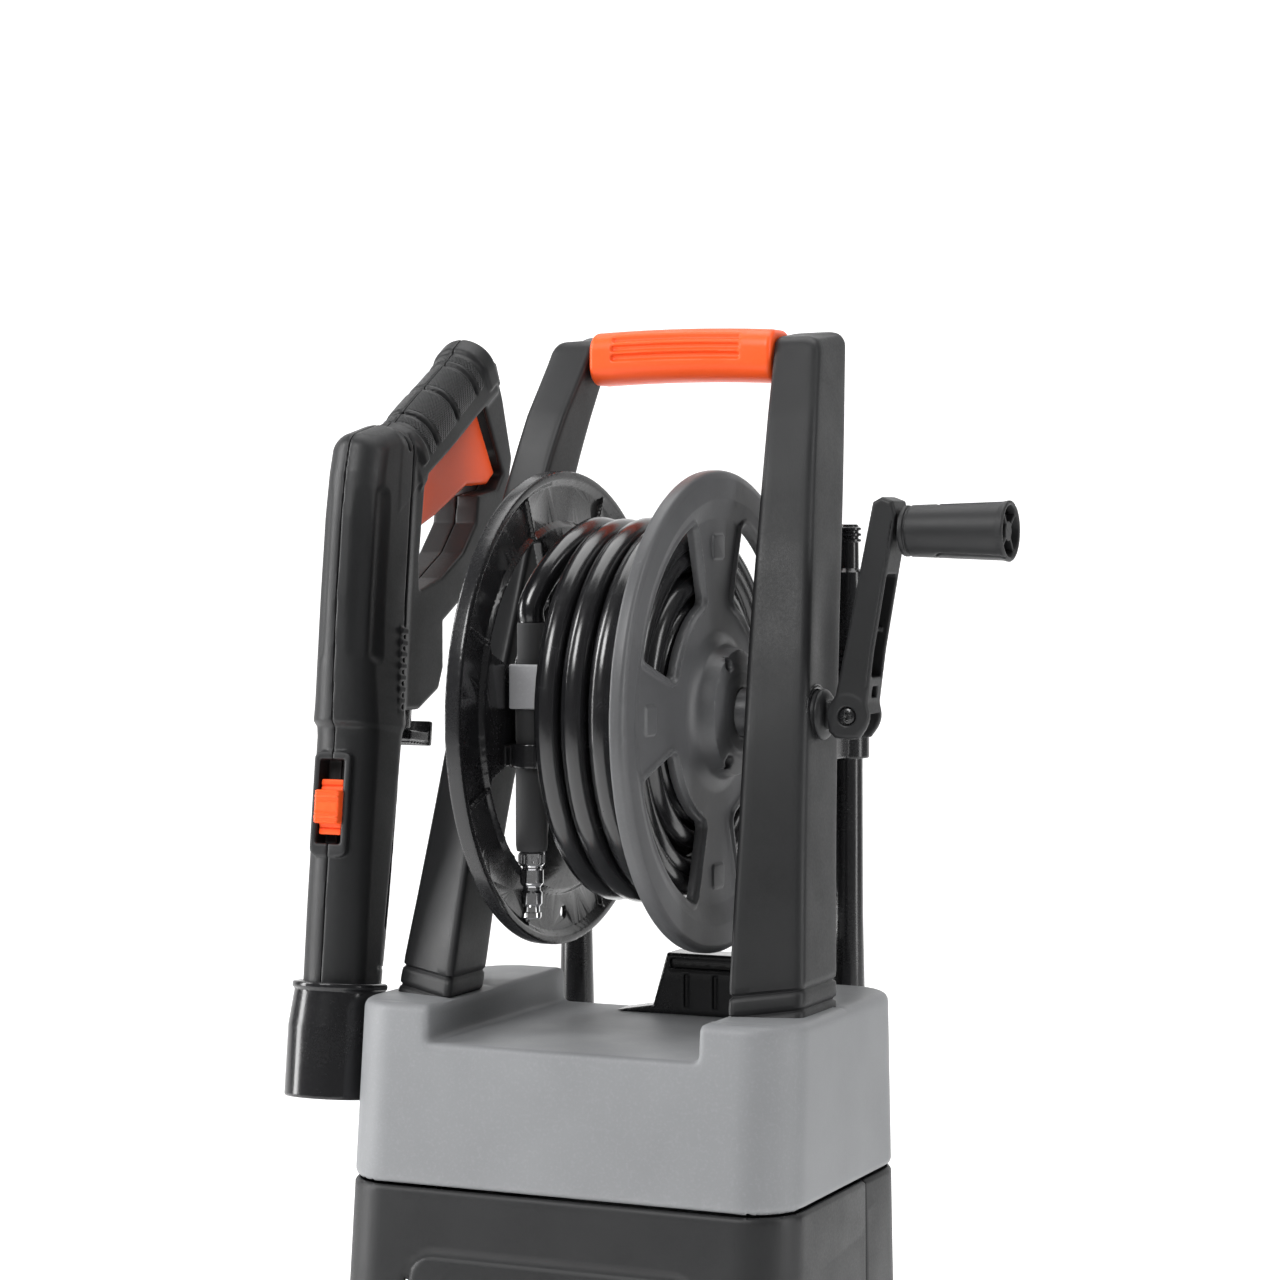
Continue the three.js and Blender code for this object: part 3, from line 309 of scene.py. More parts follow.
def sweep(line, radii, sides=16, closed=False):
    """A round tube along a line of points, with a frame that doesn't twist."""
    line = np.asarray(line, float)
    radii = np.broadcast_to(radii, len(line))
    ahead = np.roll(line, -1, 0) - np.roll(line, 1, 0)
    if not closed:
        ahead[0], ahead[-1] = line[1] - line[0], line[-1] - line[-2]
    ahead /= np.linalg.norm(ahead, axis=1)[:, None]
    side = np.cross(ahead[0], (0.3, 0.5, 0.8))
    rings = []
    for point, along, radius in zip(line, ahead, radii):
        side = side - along * (side @ along)
        side /= np.linalg.norm(side)
        up = np.cross(along, side)
        angles = np.arange(sides) * 2 * math.pi / sides
        rings.append(point + radius * (np.outer(np.cos(angles), side) + np.outer(np.sin(angles), up)))
    return loft(rings, closed)


def turned(profile, axis="z", centre=(0, 0, 0), segments=64):
    """A solid of revolution from (radius, height) points; it starts and ends on the axis."""
    profile = [(max(radius, 1e-4), height) for radius, height in profile]
    angles = np.arange(segments) * 2 * math.pi / segments
    rings = []
    for radius, height in profile:
        first, second, along = radius * np.cos(angles), radius * np.sin(angles), np.full(segments, height)
        order = {"z": (first, second, along), "x": (along, first, second), "y": (second, along, first)}
        rings.append(np.stack(order[axis], 1) + centre)
    return loft(rings)


# ---------------------------------------------------------------- shapes by distance
class Room:
    """Sample points over a box, for shapes given as a distance that is negative inside."""

    def __init__(self, low, high, cell):
        self.low, self.cell = np.array(low, float), cell
        counts = [int(math.ceil((high[i] - low[i]) / cell)) + 1 for i in range(3)]
        lines = [(low[i] + cell * np.arange(counts[i])).astype(np.float32) for i in range(3)]
        self.x, self.y, self.z = np.meshgrid(*lines, indexing="ij", sparse=True)


def both(a, b, edge=0.0):
    """What is inside both, with its outer edges rounded by that radius."""
    a, b = a + edge, b + edge
    return np.minimum(np.maximum(a, b), 0) + np.hypot(np.maximum(a, 0), np.maximum(b, 0)) - edge


def melt(a, b, soft=0.001):
    """The union, with a soft fillet."""
    lap = np.maximum(soft - np.abs(a - b), 0) / soft
    return np.minimum(a, b) - lap * lap * soft / 4


def carve(a, b, soft=0.001):
    return -melt(-a, b, soft)


def polygon(p, q, corners, grow=0.0):
    """The distance to an outline in the plane of p and q."""
    inside = np.zeros(np.broadcast(p, q).shape, bool)
    best = np.full(inside.shape, 1e9, np.float32)
    for (ax, ay), (bx, by) in zip(corners, corners[1:] + corners[:1]):
        ex, ey = bx - ax, by - ay
        t = np.clip(((p - ax) * ex + (q - ay) * ey) / (ex * ex + ey * ey), 0, 1)
        best = np.minimum(best, (p - ax - ex * t) ** 2 + (q - ay - ey * t) ** 2)
        if ey:
            inside ^= ((ay > q) != (by > q)) & (p < ex * (q - ay) / ey + ax)
    return np.where(inside, -1, 1) * np.sqrt(best) - grow


def strut(p, q, start, end, radius):
    """A band with round ends in the plane of p and q."""
    ex, ey = end[0] - start[0], end[1] - start[1]
    t = np.clip(((p - start[0]) * ex + (q - start[1]) * ey) / (ex * ex + ey * ey), 0, 1)
    return np.hypot(p - start[0] - ex * t, q - start[1] - ey * t) - radius


def block(room, x, y, z, edge=0.0):
    """A box between two values on each axis."""
    sides = zip((room.x, room.y, room.z), (x, y, z))
    gaps = [np.abs(g - (lo + hi) / 2) - (hi - lo) / 2 for g, (lo, hi) in sides]
    return both(both(gaps[0], gaps[1], edge), gaps[2], edge)


def within(value, low, high):
    return np.abs(value - (low + high) / 2) - (high - low) / 2


def skin(room, field, most=40000):
    """The surface where the distance is zero: a point in each crossed cell, joined by quads."""
    field = np.ascontiguousarray(field, np.float32)
    inside = field < 0
    corners = [np.array((i, j, k)) for i in (0, 1) for j in (0, 1) for k in (0, 1)]
    size = np.array(field.shape) - 1
    windows = [tuple(slice(c[i], c[i] + size[i]) for i in range(3)) for c in corners]
    held = sum(inside[window].astype(np.uint8) for window in windows)
    cells = np.argwhere((held > 0) & (held < 8))
    index = np.full(size, -1, np.int64)
    index[tuple(cells.T)] = np.arange(len(cells))
    total, hits = np.zeros((len(cells), 3)), np.zeros(len(cells))
    for a in corners:
        for b in corners:
            if (b - a).sum() == 1 and (b >= a).all():
                fa, fb = field[tuple((cells + a).T)], field[tuple((cells + b).T)]
                crossed = (fa < 0) != (fb < 0)
                t = np.where(crossed, fa / np.where(crossed, fa - fb, 1), 0)
                total += crossed[:, None] * (a + t[:, None] * (b - a))
                hits += crossed
    points = room.low + room.cell * (cells + total / hits[:, None])
    faces = []
    for axis in range(3):
        u, v = [np.eye(3, dtype=int)[(axis + k) % 3] for k in (1, 2)]
        step = np.eye(3, dtype=int)[axis]
        here = np.argwhere(np.diff(inside, axis=axis))
        here = here[(here[:, (axis + 1) % 3] > 0) & (here[:, (axis + 2) % 3] > 0)]
        here = here[(here < size).all(1)]
        quads = np.stack([index[tuple((here - shift).T)] for shift in (0 * u, u, u + v, v)], 1)
        flip = inside[tuple(here.T)]
        quads[~flip] = quads[~flip][:, ::-1]
        faces.append(quads)
    return thinned(points, np.concatenate(faces), most)


def thinned(points, faces, most):
    """The mesh, with no more triangles than that."""
    mesh = bpy.data.meshes.new("raw")
    mesh.from_pydata(points.tolist(), [], faces.tolist())
    raw = bpy.data.objects.new("raw", mesh)
    scene.collection.objects.link(raw)
    if 2 * len(faces) > most:
        modifier = raw.modifiers.new("thin", "DECIMATE")
        modifier.ratio = most / (2 * len(faces))
    done = raw.evaluated_get(bpy.context.evaluated_depsgraph_get()).to_mesh()
    kept = [tuple(v.co) for v in done.vertices], [tuple(f.vertices) for f in done.polygons]
    bpy.data.objects.remove(raw)
    return kept


# ---------------------------------------------------------------- hose
HOSE_R = 6.5
COIL_LEFT = -7
TAIL_START = 48  # degrees round the reel from the rear, where the tail leaves the coil
INNER_R = 52
LAYER_STEP = 12.3
TURN_STEP = 13.1
TAIL_X = -21.1
HOSE_TAIL = [
    (TAIL_X, 60, 66),
    (TAIL_X, 32, 84),
    (TAIL_X, 0, 90.5),
    (TAIL_X - 1, -28, 84),
    (TAIL_X - 5, -50, 69),
    (-30, -60, 54),
    (-30, -60, 45.3),
]


def wound_turns():
    """The x and radius of each turn, out from the drum: three full layers and a looser one on top."""
    turns = []
    for layer in range(3):
        row = [(COIL_LEFT + TURN_STEP * i, INNER_R + LAYER_STEP * layer) for i in range(4)]
        turns += row if layer % 2 == 0 else row[::-1]
    return turns[:-1] + [(31.9, 79), (31.5, 86), (21.8, 89.8), (7.4, 90.2), (COIL_LEFT, 89.6)]


def hose_line():
    turns = wound_turns() + [(TAIL_X, 89.2)]
    line = []
    for i, ((x, r), (next_x, next_r)) in enumerate(zip(turns, turns[1:])):
        for step in range(60):
            t = step / 60
            ease = min(1, max(0, (t - 0.62) / 0.36))
            ease = ease * ease * (3 - 2 * ease)
            angle = math.radians(TAIL_START) + 2 * math.pi * t
            radius = r + (next_r - r) * ease
            line.append((x + (next_x - x) * ease, radius * math.cos(angle), radius * math.sin(angle)))
    return line + smooth_line(HOSE_TAIL, 8)


def smooth_line(points, steps):
    """A Catmull-Rom curve through the points."""
    points = [np.array(p, float) for p in points]
    points = [2 * points[0] - points[1], *points, 2 * points[-1] - points[-2]]
    line = []
    for a, b, c, d in zip(points, points[1:], points[2:], points[3:]):
        for step in range(steps):
            t = step / steps
            line.append(0.5 * (2 * b + (c - a) * t + (2 * a - 5 * b + 4 * c - d) * t**2
                               + (3 * b - 3 * c + d - a) * t**3))
    return [tuple(p) for p in line + [points[-2]]]


def add_hose():
    line = hose_line()
    hose = piece("hose", sweep(line, HOSE_R, 16), "reel", "hose", ["hose_coil", "hose_tail"], sharp=60)
    end_x, end_y = HOSE_TAIL[-1][:2]
    sleeve_low, sleeve_high = reach("hose_sleeve")
    top, foot = sleeve_high[2], sleeve_low[2]
    sleeve_profile = [(0, top), (6.9, top), (7.1, top - 1), (7.0, top - 20), (7.4, 14), (7.9, 4)]
    sleeve_profile += [(7.9, -12)]
    sleeve_profile += [(7.5, -14), (7.5, -26), (7.9, -28), (7.9, foot + 3), (7.4, foot), (0, foot)]
    sleeve = piece("strain_sleeve", turned(sleeve_profile, "z", (end_x, end_y, 0), 40), "reel", "rubber",
                   ["hose_sleeve"])
    nipple_top, tip = foot - 0.3, reach("hose_nipple")[0][2]
    nipple_profile = [(0, nipple_top), (5.4, nipple_top), (6.3, nipple_top - 0.8), (6.3, nipple_top - 6.2)]
    nipple_profile += [(5.6, nipple_top - 7), (4.6, nipple_top - 7.4), (4.6, nipple_top - 8.4)]
    nipple_profile += [(5.8, nipple_top - 9), (5.8, nipple_top - 15.4), (5.2, nipple_top - 16.4)]
    nipple_profile += [(4.3, nipple_top - 17.4), (4.3, nipple_top - 19), (5.2, nipple_top - 20.2)]
    nipple_profile += [(5.2, nipple_top - 25.6), (4.0, nipple_top - 27), (4.0, tip + 3.4), (4.8, tip + 3)]
    nipple_profile += [(4.8, tip + 0.8), (4.2, tip), (0, tip)]
    nipple = piece("plug_nipple", turned(nipple_profile, "z", (end_x, end_y, 0), 48), "reel", "chrome",
                   ["hose_nipple"], sharp=25)
    flutes = []
    for i in range(18):
        angle = i * math.pi / 9
        x, y = end_x + 6.3 * math.cos(angle), end_y + 6.3 * math.sin(angle)
        flutes.append(sweep([(x, y, nipple_top - 1.4), (x, y, nipple_top - 5.6)], 0.45, 6))
    knurl = piece("nipple_knurl", together(*flutes), "reel", "chrome")


add_hose()

# ---------------------------------------------------------------- legs and grip
# Sections up the right leg: height, inner x, inner front y, outer x, outer front y, and the
# depths of the inner and outer faces.
LEG_STATIONS = np.array([
    (-200, 79, -78, 114.5, -65, 40, 49),
    (-150, 75.5, -66, 110.5, -54, 40, 48),
    (-50, 71, -41, 101.5, -29, 41, 46),
    (40, 64.5, -12, 94, -5, 41, 45),
    (120, 59.5, 17, 85, 24, 38, 45),
    (190, 51, 54, 76, 54, 29, 41),
])
LEG_CORNER = 4.2
GROOVES = (-131, -140.5)  # two bands round the foot of each leg
SCOOP = (-15, 82)  # the shallow hollow in the outer face, behind the crank


def leg_station(z):
    """The section's six numbers at a height, by a cubic through the stations."""
    heights = LEG_STATIONS[:, 0]
    slopes = np.gradient(LEG_STATIONS[:, 1:], heights, axis=0)
    i = int(np.clip(np.searchsorted(heights, z) - 1, 0, len(heights) - 2))
    gap = heights[i + 1] - heights[i]
    t = (z - heights[i]) / gap
    first, last = LEG_STATIONS[i, 1:], LEG_STATIONS[i + 1, 1:]
    return ((2 * t**3 - 3 * t**2 + 1) * first + (t**3 - 2 * t**2 + t) * gap * slopes[i]
            + (3 * t**2 - 2 * t**3) * last + (t**3 - t**2) * gap * slopes[i + 1])


def leg_ring(z, shrink, side):
    """One section: four sides with round corners, the outer one hollowed where the scoop is."""
    inner_x, inner_y, outer_x, outer_y, inner_depth, outer_depth = leg_station(z)
    inner_rear, outer_rear = inner_y + inner_depth, outer_y + outer_depth
    corners = [(inner_x, inner_y), (outer_x, outer_y), (outer_x, outer_rear), (inner_x, inner_rear)]
    middle = np.mean(corners, axis=0)
    drawn = [middle + (np.array(c) - middle) * (1 - shrink / 20) for c in corners]
    outline = []
    for i, corner in enumerate(drawn):
        before, after = drawn[i - 1] - corner, drawn[(i + 1) % 4] - corner
        start = corner + before / np.linalg.norm(before) * LEG_CORNER
        end = corner + after / np.linalg.norm(after) * LEG_CORNER
        for step in range(7):
            t = step / 6
            outline.append((1 - t) ** 2 * start + 2 * t * (1 - t) * corner + t * t * end)
        flat_end = drawn[(i + 1) % 4] - after / np.linalg.norm(after) * LEG_CORNER
        for step in range(1, 8):
            outline.append(end + (flat_end - end) * step / 8)
    rise = np.clip((z - SCOOP[0]) / 18, 0, 1) * np.clip((SCOOP[1] - z) / 40, 0, 1)
    ring = []
    for x, y in outline:
        over = np.clip((x - outer_x + 1.5) / 1.4, 0, 1)
        across = (y - outer_y) / outer_depth
        hollow = 1.6 * rise * over * np.clip(1.25 - abs(across - 0.5) * 3.4, 0, 1)
        ring.append((side * (x - hollow), y, leg_height(z, x, y, corners)))
    return ring


def leg_height(z, x, y, corners):
    """The rings lean at the foot, and the top slopes to the front and rounds off outside."""
    inner_x = corners[0][0]
    outer_x, front = corners[1]
    back = corners[2][1]
    u = 2 * (x - inner_x) / (outer_x - inner_x) - 1
    v = 2 * (y - front) / (back - front) - 1
    low = np.clip((-95 - z) / 40, 0, 1)
    top = np.clip((z - 150) / 37, 0, 1)
    return z + low * 0.13 * (x - (inner_x + outer_x) / 2) - top * (2.5 * (1 - v) + 4 * max(0, u) ** 4)


def leg(side):
    low = (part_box("left_leg")[0].z - REEL.z) / MM
    heights = list(np.arange(low + 0.01, 189, 3.5))
    for groove in GROOVES:
        heights = [h for h in heights if abs(h - groove) > 1.6]
        heights += [groove - 1.3, groove - 0.7, groove, groove + 0.7, groove + 1.3]
    rings = []
    for z in sorted(heights):
        depth = max(max(0, 1.2 - 1.1 * max(0, abs(z - g) - 0.35)) for g in GROOVES)
        rings.append(leg_ring(z, depth, side))
    for step in range(6):
        angle = math.pi / 2 * (step + 1) / 6
        rings.append(leg_ring(189.2 + 4.2 * math.sin(angle), 4 * (1 - math.cos(angle)), side))
    return loft(rings)


def grip():
    """The carrying grip: a rounded bar with a low arch, three finger grooves and softened ends."""
    low, high = reach("handle_grip")
    room = Room([low[0] - 1, low[1] - 2, low[2] - 2], [high[0] + 1, high[1] + 2, high[2] + 4], 0.7)
    half = (high[0] - low[0]) / 2
    mid_y, mid_z = (low[1] + high[1]) / 2, (low[2] + high[2]) / 2
    z = room.z - mid_z - 1.4 * (1 - (room.x / half) ** 2)
    depth, height = (high[1] - low[1]) / 2, (high[2] - low[2]) / 2
    round_bar = both(np.abs(room.y - mid_y) - depth, np.abs(z) - height + 0.3, 10)
    bar = both(round_bar, np.abs(room.x) - half, 2.5)
    for i in (-1, 0, 1):
        level = 4.4 + 4.7 * i
        front = room.y - low[1] - 0.5 - max(0, level - 4) ** 2 / 17
        groove = np.hypot(z - level, front) - 1.5
        bar = carve(bar, both(groove, np.abs(room.x + 2) - half + 15, 1.2), 1.2)
    return skin(room, bar)


def add_legs():
    for side, name in ((-1, "left_leg"), (1, "right_leg")):
        piece(name + "_shell", leg(side), "frame", "leg_plastic", [name], sharp=50)
    piece("carrying_grip", grip(), "frame", "orange_plastic", ["handle_grip"])


add_legs()

# ---------------------------------------------------------------- hose reel
FLANGE_R = 120
FACE_X = 39  # inner face of each flange


def ring_window(room, middle, r_in, r_out, half_angle, corner, sink=0.0):
    """A window between two radii, with straight spoke sides; angles are degrees from the rear, up."""
    radius = np.hypot(room.y, room.z)
    away = np.angle(np.exp(1j * (np.arctan2(room.z, room.y) - math.radians(middle))))
    sides = radius * np.sin(np.clip(np.abs(away), 0, 1.5) - math.radians(half_angle)) + sink
    return both(within(radius, r_in, r_out), sides, corner)


def right_flange():
    """The flange by the crank: a broad dished rim, four spokes with raised edges and a deep hub."""
    room = Room((FACE_X - 1, -FLANGE_R - 1, -FLANGE_R - 1), (FACE_X + 22, FLANGE_R + 1, FLANGE_R + 1), 0.8)
    radius = np.hypot(room.y, room.z)
    x = room.x - FACE_X
    rim_height = np.interp(radius, [0, 30, 40, 96, 106, 116, 120], [5.2, 5.2, 4.4, 4.6, 7.6, 7.9, 6.6])
    disc = both(radius - FLANGE_R, both(x - rim_height, -x), 1.4)
    windows = np.full(disc.shape, 1e3, np.float32)
    for middle in (45, 135, 225, 315):
        windows = np.minimum(windows, ring_window(room, middle, 57, 97, 27, 4))
    rib = both(np.abs(windows - 2.6) - 1.0, within(x, 2, 6.3), 0.5)
    disc = melt(disc, both(rib, within(radius, 40, 102)), 1.2)
    disc = carve(disc, windows, 0.8)
    hub = both(radius - np.interp(x, [4, 8, 16, 19], [37, 33.5, 31, 16]), within(x, 0, 18.6), 1.5)
    disc = melt(disc, hub, 5)
    for angle in (60, 120, 240, 300):
        y, z = 27.5 * math.cos(math.radians(angle)), 27.5 * math.sin(math.radians(angle))
        disc = carve(disc, both(np.hypot(room.y - y, room.z - z) - 3.4, 6 - x), 0.6)
    for middle in (0, 90, 180, 270):
        away = math.radians(middle)
        along = room.y * math.cos(away) + room.z * math.sin(away)
        beside = room.y * math.sin(away) - room.z * math.cos(away)
        pad = both(both(np.abs(beside) - 7, np.abs(along - 82) - 6, 2), within(x, 4, 5.6), 0.6)
        disc = melt(disc, pad, 1.0)
    return skin(room, both(disc, 12.3 - radius + 0 * x, 0.4), 60000)


def left_flange():
    """The flange by the hose end: a disc with a lip, radial ribs and four windows."""
    edge = FLANGE_R + 1
    room = Room((-FACE_X - 22, -edge, -edge), (-FACE_X + 1, edge, edge), 0.8)
    radius = np.hypot(room.y, room.z)
    x = -room.x - FACE_X  # 0 at the inner face, growing outwards
    inner = np.interp(radius, [0, 92, 95, 113, 116, 120], [0, 0, 2.8, 2.8, 0.2, 0])
    thickness = np.interp(radius, [0, 108, 114, 120], [5, 5, 8, 8])
    disc = both(radius - FLANGE_R, both(x - thickness, inner - x), 0.8)
    for middle in range(0, 360, 45):
        away = math.radians(middle + 22.5)
        along = room.y * math.cos(away) + room.z * math.sin(away)
        beside = room.y * math.sin(away) - room.z * math.cos(away)
        disc = melt(disc, both(both(np.abs(beside) - 0.8, within(along, 93, 115)), within(x, 0.5, 4)), 0.8)
    for middle in (45, 135, 225, 315):
        window = ring_window(room, middle, 57, 92, 25, 4)
        disc = carve(disc, both(window, within(x, -3, 12)), 0.8)
    hub = both(radius - np.interp(x, [4, 8, 16, 19], [37, 33.5, 31, 16]), within(x, 0, 18.6), 1.5)
    disc = melt(disc, hub, 4)
    hole = np.hypot(room.y - 0, room.z + 104) - 2.6
    disc = carve(disc, hole + 0 * x, 0.6)
    return skin(room, both(disc, 12.3 - radius + 0 * x, 0.4), 60000)


def journal(side, end):
    """The turned part of a flange that runs in the leg."""
    profile = [(0, 40), (12.4, 40), (12.4, 57), (12, 58), (12, end - 0.8), (11.2, end), (0, end)]
    return turned([(r, side * h) for r, h in profile], "x", segments=48)


def drum():
    """The drum between the flanges, with shallow ribs along it."""
    low, high = reach("reel_drum")
    angles = np.arange(144) * 2 * math.pi / 144
    rings = []
    for x in (low[0], low[0] + 0.8, high[0] - 0.8, high[0]):
        ease = 0.8 if x in (low[0], high[0]) else 0
        radius = high[2] - ease - 0.8 * (np.cos(angles * 12) > 0.85)
        rings.append(np.stack((np.full(144, x), radius * np.cos(angles), radius * np.sin(angles)), 1))
    return loft(rings)


def hose_clip():
    """The snap clip: an open ring round the sleeve with lips and a foot on the flange."""
    low, high = reach("hose_clip")
    x0, y0 = HOSE_TAIL[-1][:2]
    room = Room((low[0] - 8, low[1] - 4, low[2] - 3), (high[0] + 6, high[1] + 4, high[2] + 3), 0.45)
    radius = np.hypot(room.x - x0, room.y - y0)
    ring = both(within(radius, 8.0, 10.6), within(room.z, -26, -14), 0.7)
    gap = both(np.abs(room.y - y0) - 5.2, x0 + 3 - room.x)
    ring = carve(ring, gap + 0 * room.z, 0.6)
    for sign in (-1, 1):
        lip = np.hypot(room.x - x0 - 6.4, room.y - y0 - sign * 7.6) - 1.7
        ring = melt(ring, both(lip, within(room.z, -26, -14), 0.6), 0.8)
    strap = block(room, (x0 - 10.9, x0 - 8), (y0 - 12, y0 + 9), (-25, -15), 0.8)
    return skin(room, melt(ring, strap, 1.5), 12000)


def valve_plate():
    """The pale block on the flange beside the sleeve."""
    x0, y0 = HOSE_TAIL[-1][:2]
    face = [(-11, 3), (11, 3), (11, 25), (-11, 25)]
    room = Room((x0 - 12, y0 - 16, -2), (x0 + 12, y0 + 12, 30), 0.5)
    plate = block(room, (x0 - 8, x0 + 8.4), (y0 - 9.6, y0 - 7.8), (face[0][1], face[2][1]), 1.0)
    return skin(room, plate, 6000)


def add_reel():
    right_end, left_end = reach("flange_right")[1][0], -reach("flange_left")[0][0]
    # the crank-side flange is drawn in satin_black, whose lighter base is painted light for the key light on its
    # face
    piece("crank_side_flange", together(right_flange(), journal(1, right_end)), "reel", "satin_black",
          ["flange_right"])
    piece("hose_side_flange", together(left_flange(), journal(-1, left_end)), "reel", "black_plastic",
          ["flange_left"])
    piece("drum", drum(), "reel", "satin_black", ["reel_drum"])
    piece("snap_clip", hose_clip(), "reel", "black_plastic", ["hose_clip"])
    piece("sleeve_block", valve_plate(), "reel", "satin_black", look="label_grey")


add_reel()


# ---------------------------------------------------------------- spray gun
# Barrel sections: height u, middle of the front arc, middle of the rear arc, arc radius.
BARREL = np.array([
    (-40, -11.6, -2.5, 16.4),
    (0, -11.6, -1, 17),
    (52, -12.2, 3.2, 17),
    (134, -11.6, 7.7, 17),
    (138.5, -12, 8, 17.2),
    (141.5, -14.5, 8.5, 18),
    (150, -15.5, 8.5, 17.2),
    (165, -17.3, 8.5, 16.4),
    (205, -19.6, 8.5, 15.6),
    (245, -19.2, 8.5, 15.6),
    (268, -17.6, 8.5, 15.5),
    (300, -12, 8.5, 15.5),
])
GUN_TOP = 296
PLATE_HALF = 14.4
GRIP_START, GRIP_END = (24, 287.5), (88, 337.5)
GRIP_R = 15.2
GRIP_GROOVES = (11, 38, 65)
GUN_OUTLINE = [(-4, 148), (37, 152), (57, 164), (61, 176), (58, 200), (77, 213), (97, 233), (120, 257),
               (124.5, 273), (128, 297), (113, 328), (101, 346), (92, 347), (82, 333), (24, 290), (4, 286),
               (-4, 290)]
TRIGGER_WINDOW = [(28, 230), (30, 215.5), (51, 224), (74, 240), (87, 257), (88, 272.5), (110, 278.5),
                  (116, 287), (91, 318.5), (30, 274)]
TRIGGER_SWEEP = [(8, 250), (32, 243), (84, 270), (116, 284), (114, 300), (90, 334), (76, 331), (24, 290),
                 (8, 284)]
PANEL_LINE = [(10.5, 261), (91.5, 323)]  # the step along the foot of the grip's panel
GUN_CELL = 0.85


def barrel_distance(room):
    front, rear, radius = [np.interp(room.z, BARREL[:, 0], BARREL[:, k]) for k in (1, 2, 3)]
    side = np.hypot(room.x, room.y - np.clip(room.y, front, rear)) - radius
    slope = 0.35 * np.maximum(0, -room.y - 4)
    return both(side, both(room.z - GUN_TOP + slope + room.x**2 / 40, BARREL[0, 0] - room.z), 5)


def grip_lines(room):
    """How far along the grip's axis, how far out from it, and the axis's length."""
    start, end = np.array(GRIP_START), np.array(GRIP_END)
    length = np.linalg.norm(end - start)
    along = (end - start) / length
    s = (room.y - start[0]) * along[0] + (room.z - start[1]) * along[1]
    out = (room.z - start[1]) * along[0] - (room.y - start[0]) * along[1]
    return s, out, length


def handle_distance(room):
    """The grip, its collars, the flat neck with the guard, and the trigger's window."""
    plate = polygon(room.y, room.z, GUN_OUTLINE, -2) - 2
    window = polygon(room.y, room.z, TRIGGER_WINDOW, 1.5)
    (av, au), (bv, bu) = PANEL_LINE
    length = math.hypot(bv - av, bu - au)
    below = ((room.y - av) * (bu - au) - (room.z - au) * (bv - av)) / length
    half = PLATE_HALF - 1.0 * np.clip(below / 0.9 + 0.5, 0, 1)
    flat = both(plate, np.abs(room.x) - half, 3)
    s, out, length = grip_lines(room)
    core = np.hypot(room.x, np.maximum(out, 0)) - GRIP_R - 0.5 * np.sin(s / 13)
    core = both(core, both(within(s, -14, length + 8), -out - 16), 2)
    flat = melt(flat, core, 2.5)
    for place in GRIP_GROOVES:
        ring = both(np.abs(s - place) - 1.1, GRIP_R - 1.7 - np.hypot(room.x, np.maximum(out, 0)), 0.4)
        flat = carve(flat, both(ring, -4 - out), 0.9)
    away = np.hypot(room.x, np.maximum(out, 0)) - GRIP_R
    collar = both(away - 1.6, within(s, length - 4, length + 10), 3)
    flat = melt(flat, both(collar, -out - 10, 2), 0.8)
    root = both(away - 2.2, within(s, -9, -1), 2.4)
    flat = melt(flat, both(root, -out - 6, 2), 0.6)
    return carve(flat, window + 0 * room.x, 1.4)


def gun_body(room):
    body = melt(barrel_distance(room), handle_distance(room), 2.5)
    neck = both(np.abs(room.y - 10.5) - 0.9, within(room.z, 150, 300))
    body = carve(body, both(neck, PLATE_HALF - 2.2 - np.abs(room.x)), 1)
    cap = np.abs(room.y - 4 + 0.35 * (room.z - 290)) - 1.0
    body = carve(body, both(cap, 272 - room.z + 0.05 * room.x**2), 1)
    for centre, angle in ((-20, -48), (-16.5, -8)):
        away = math.radians(angle)
        reach_out = 16.3 + 10.1
        x, v = reach_out * math.cos(away), centre + reach_out * math.sin(away)
        flute = np.hypot(np.abs(room.x) - x, room.y - v) - 12
        body = carve(body, both(flute, within(room.z, 172, 262), 5), 2)
    for i in range(8):
        tooth = both(within(np.abs(room.x), 12, 17.4), within(room.y, 5, 12.5), 0.6)
        body = melt(body, both(tooth, within(room.z, 147 + 6 * i, 150.4 + 6 * i), 0.6), 0.6)
    slot = strut(room.y, room.z, (13.5 - 6, 40), (19.5 - 3, 140), 2.6)
    body = carve(body, both(slot, 11 - np.abs(room.x)), 1)
    ring = both(np.abs(room.z - 17 - 0.06 * room.x) - 0.6, 0 - room.y)
    body = carve(body, both(ring, -0.8 - barrel_distance(room)), 0.6)
    return gun_openings(room, body)


def gun_openings(room, body):
    """The slider's raised frame and window, the trigger's slot and the mouths for hose and lance."""
    front = np.interp(room.z, BARREL[:, 0], BARREL[:, 1] - BARREL[:, 3])
    rounded = both(np.abs(room.x) - 10.4, within(room.z, 73, 126), 4)
    body = melt(body, both(rounded, within(room.y, front - 0.9, front + 6), 0.8), 0.8)
    window = both(np.abs(room.x) - 7.1, within(room.z, 79.5, 122), 1)
    body = carve(body, both(window, room.y - front - 9.5), 0.6)
    sweep_area = polygon(room.y, room.z, TRIGGER_SWEEP)
    body = carve(body, both(sweep_area, np.abs(room.x) - 10.6), 0.6)
    mouth = np.hypot(room.x, room.y - SOCKET_V) - 11
    body = carve(body, both(mouth, within(room.z, 120, 166)), 0.6)
    bore = np.hypot(room.x, room.y + 7) - 13.6
    return carve(body, both(bore, within(room.z, -60, -4)), 0.8)


SOCKET_V = 40


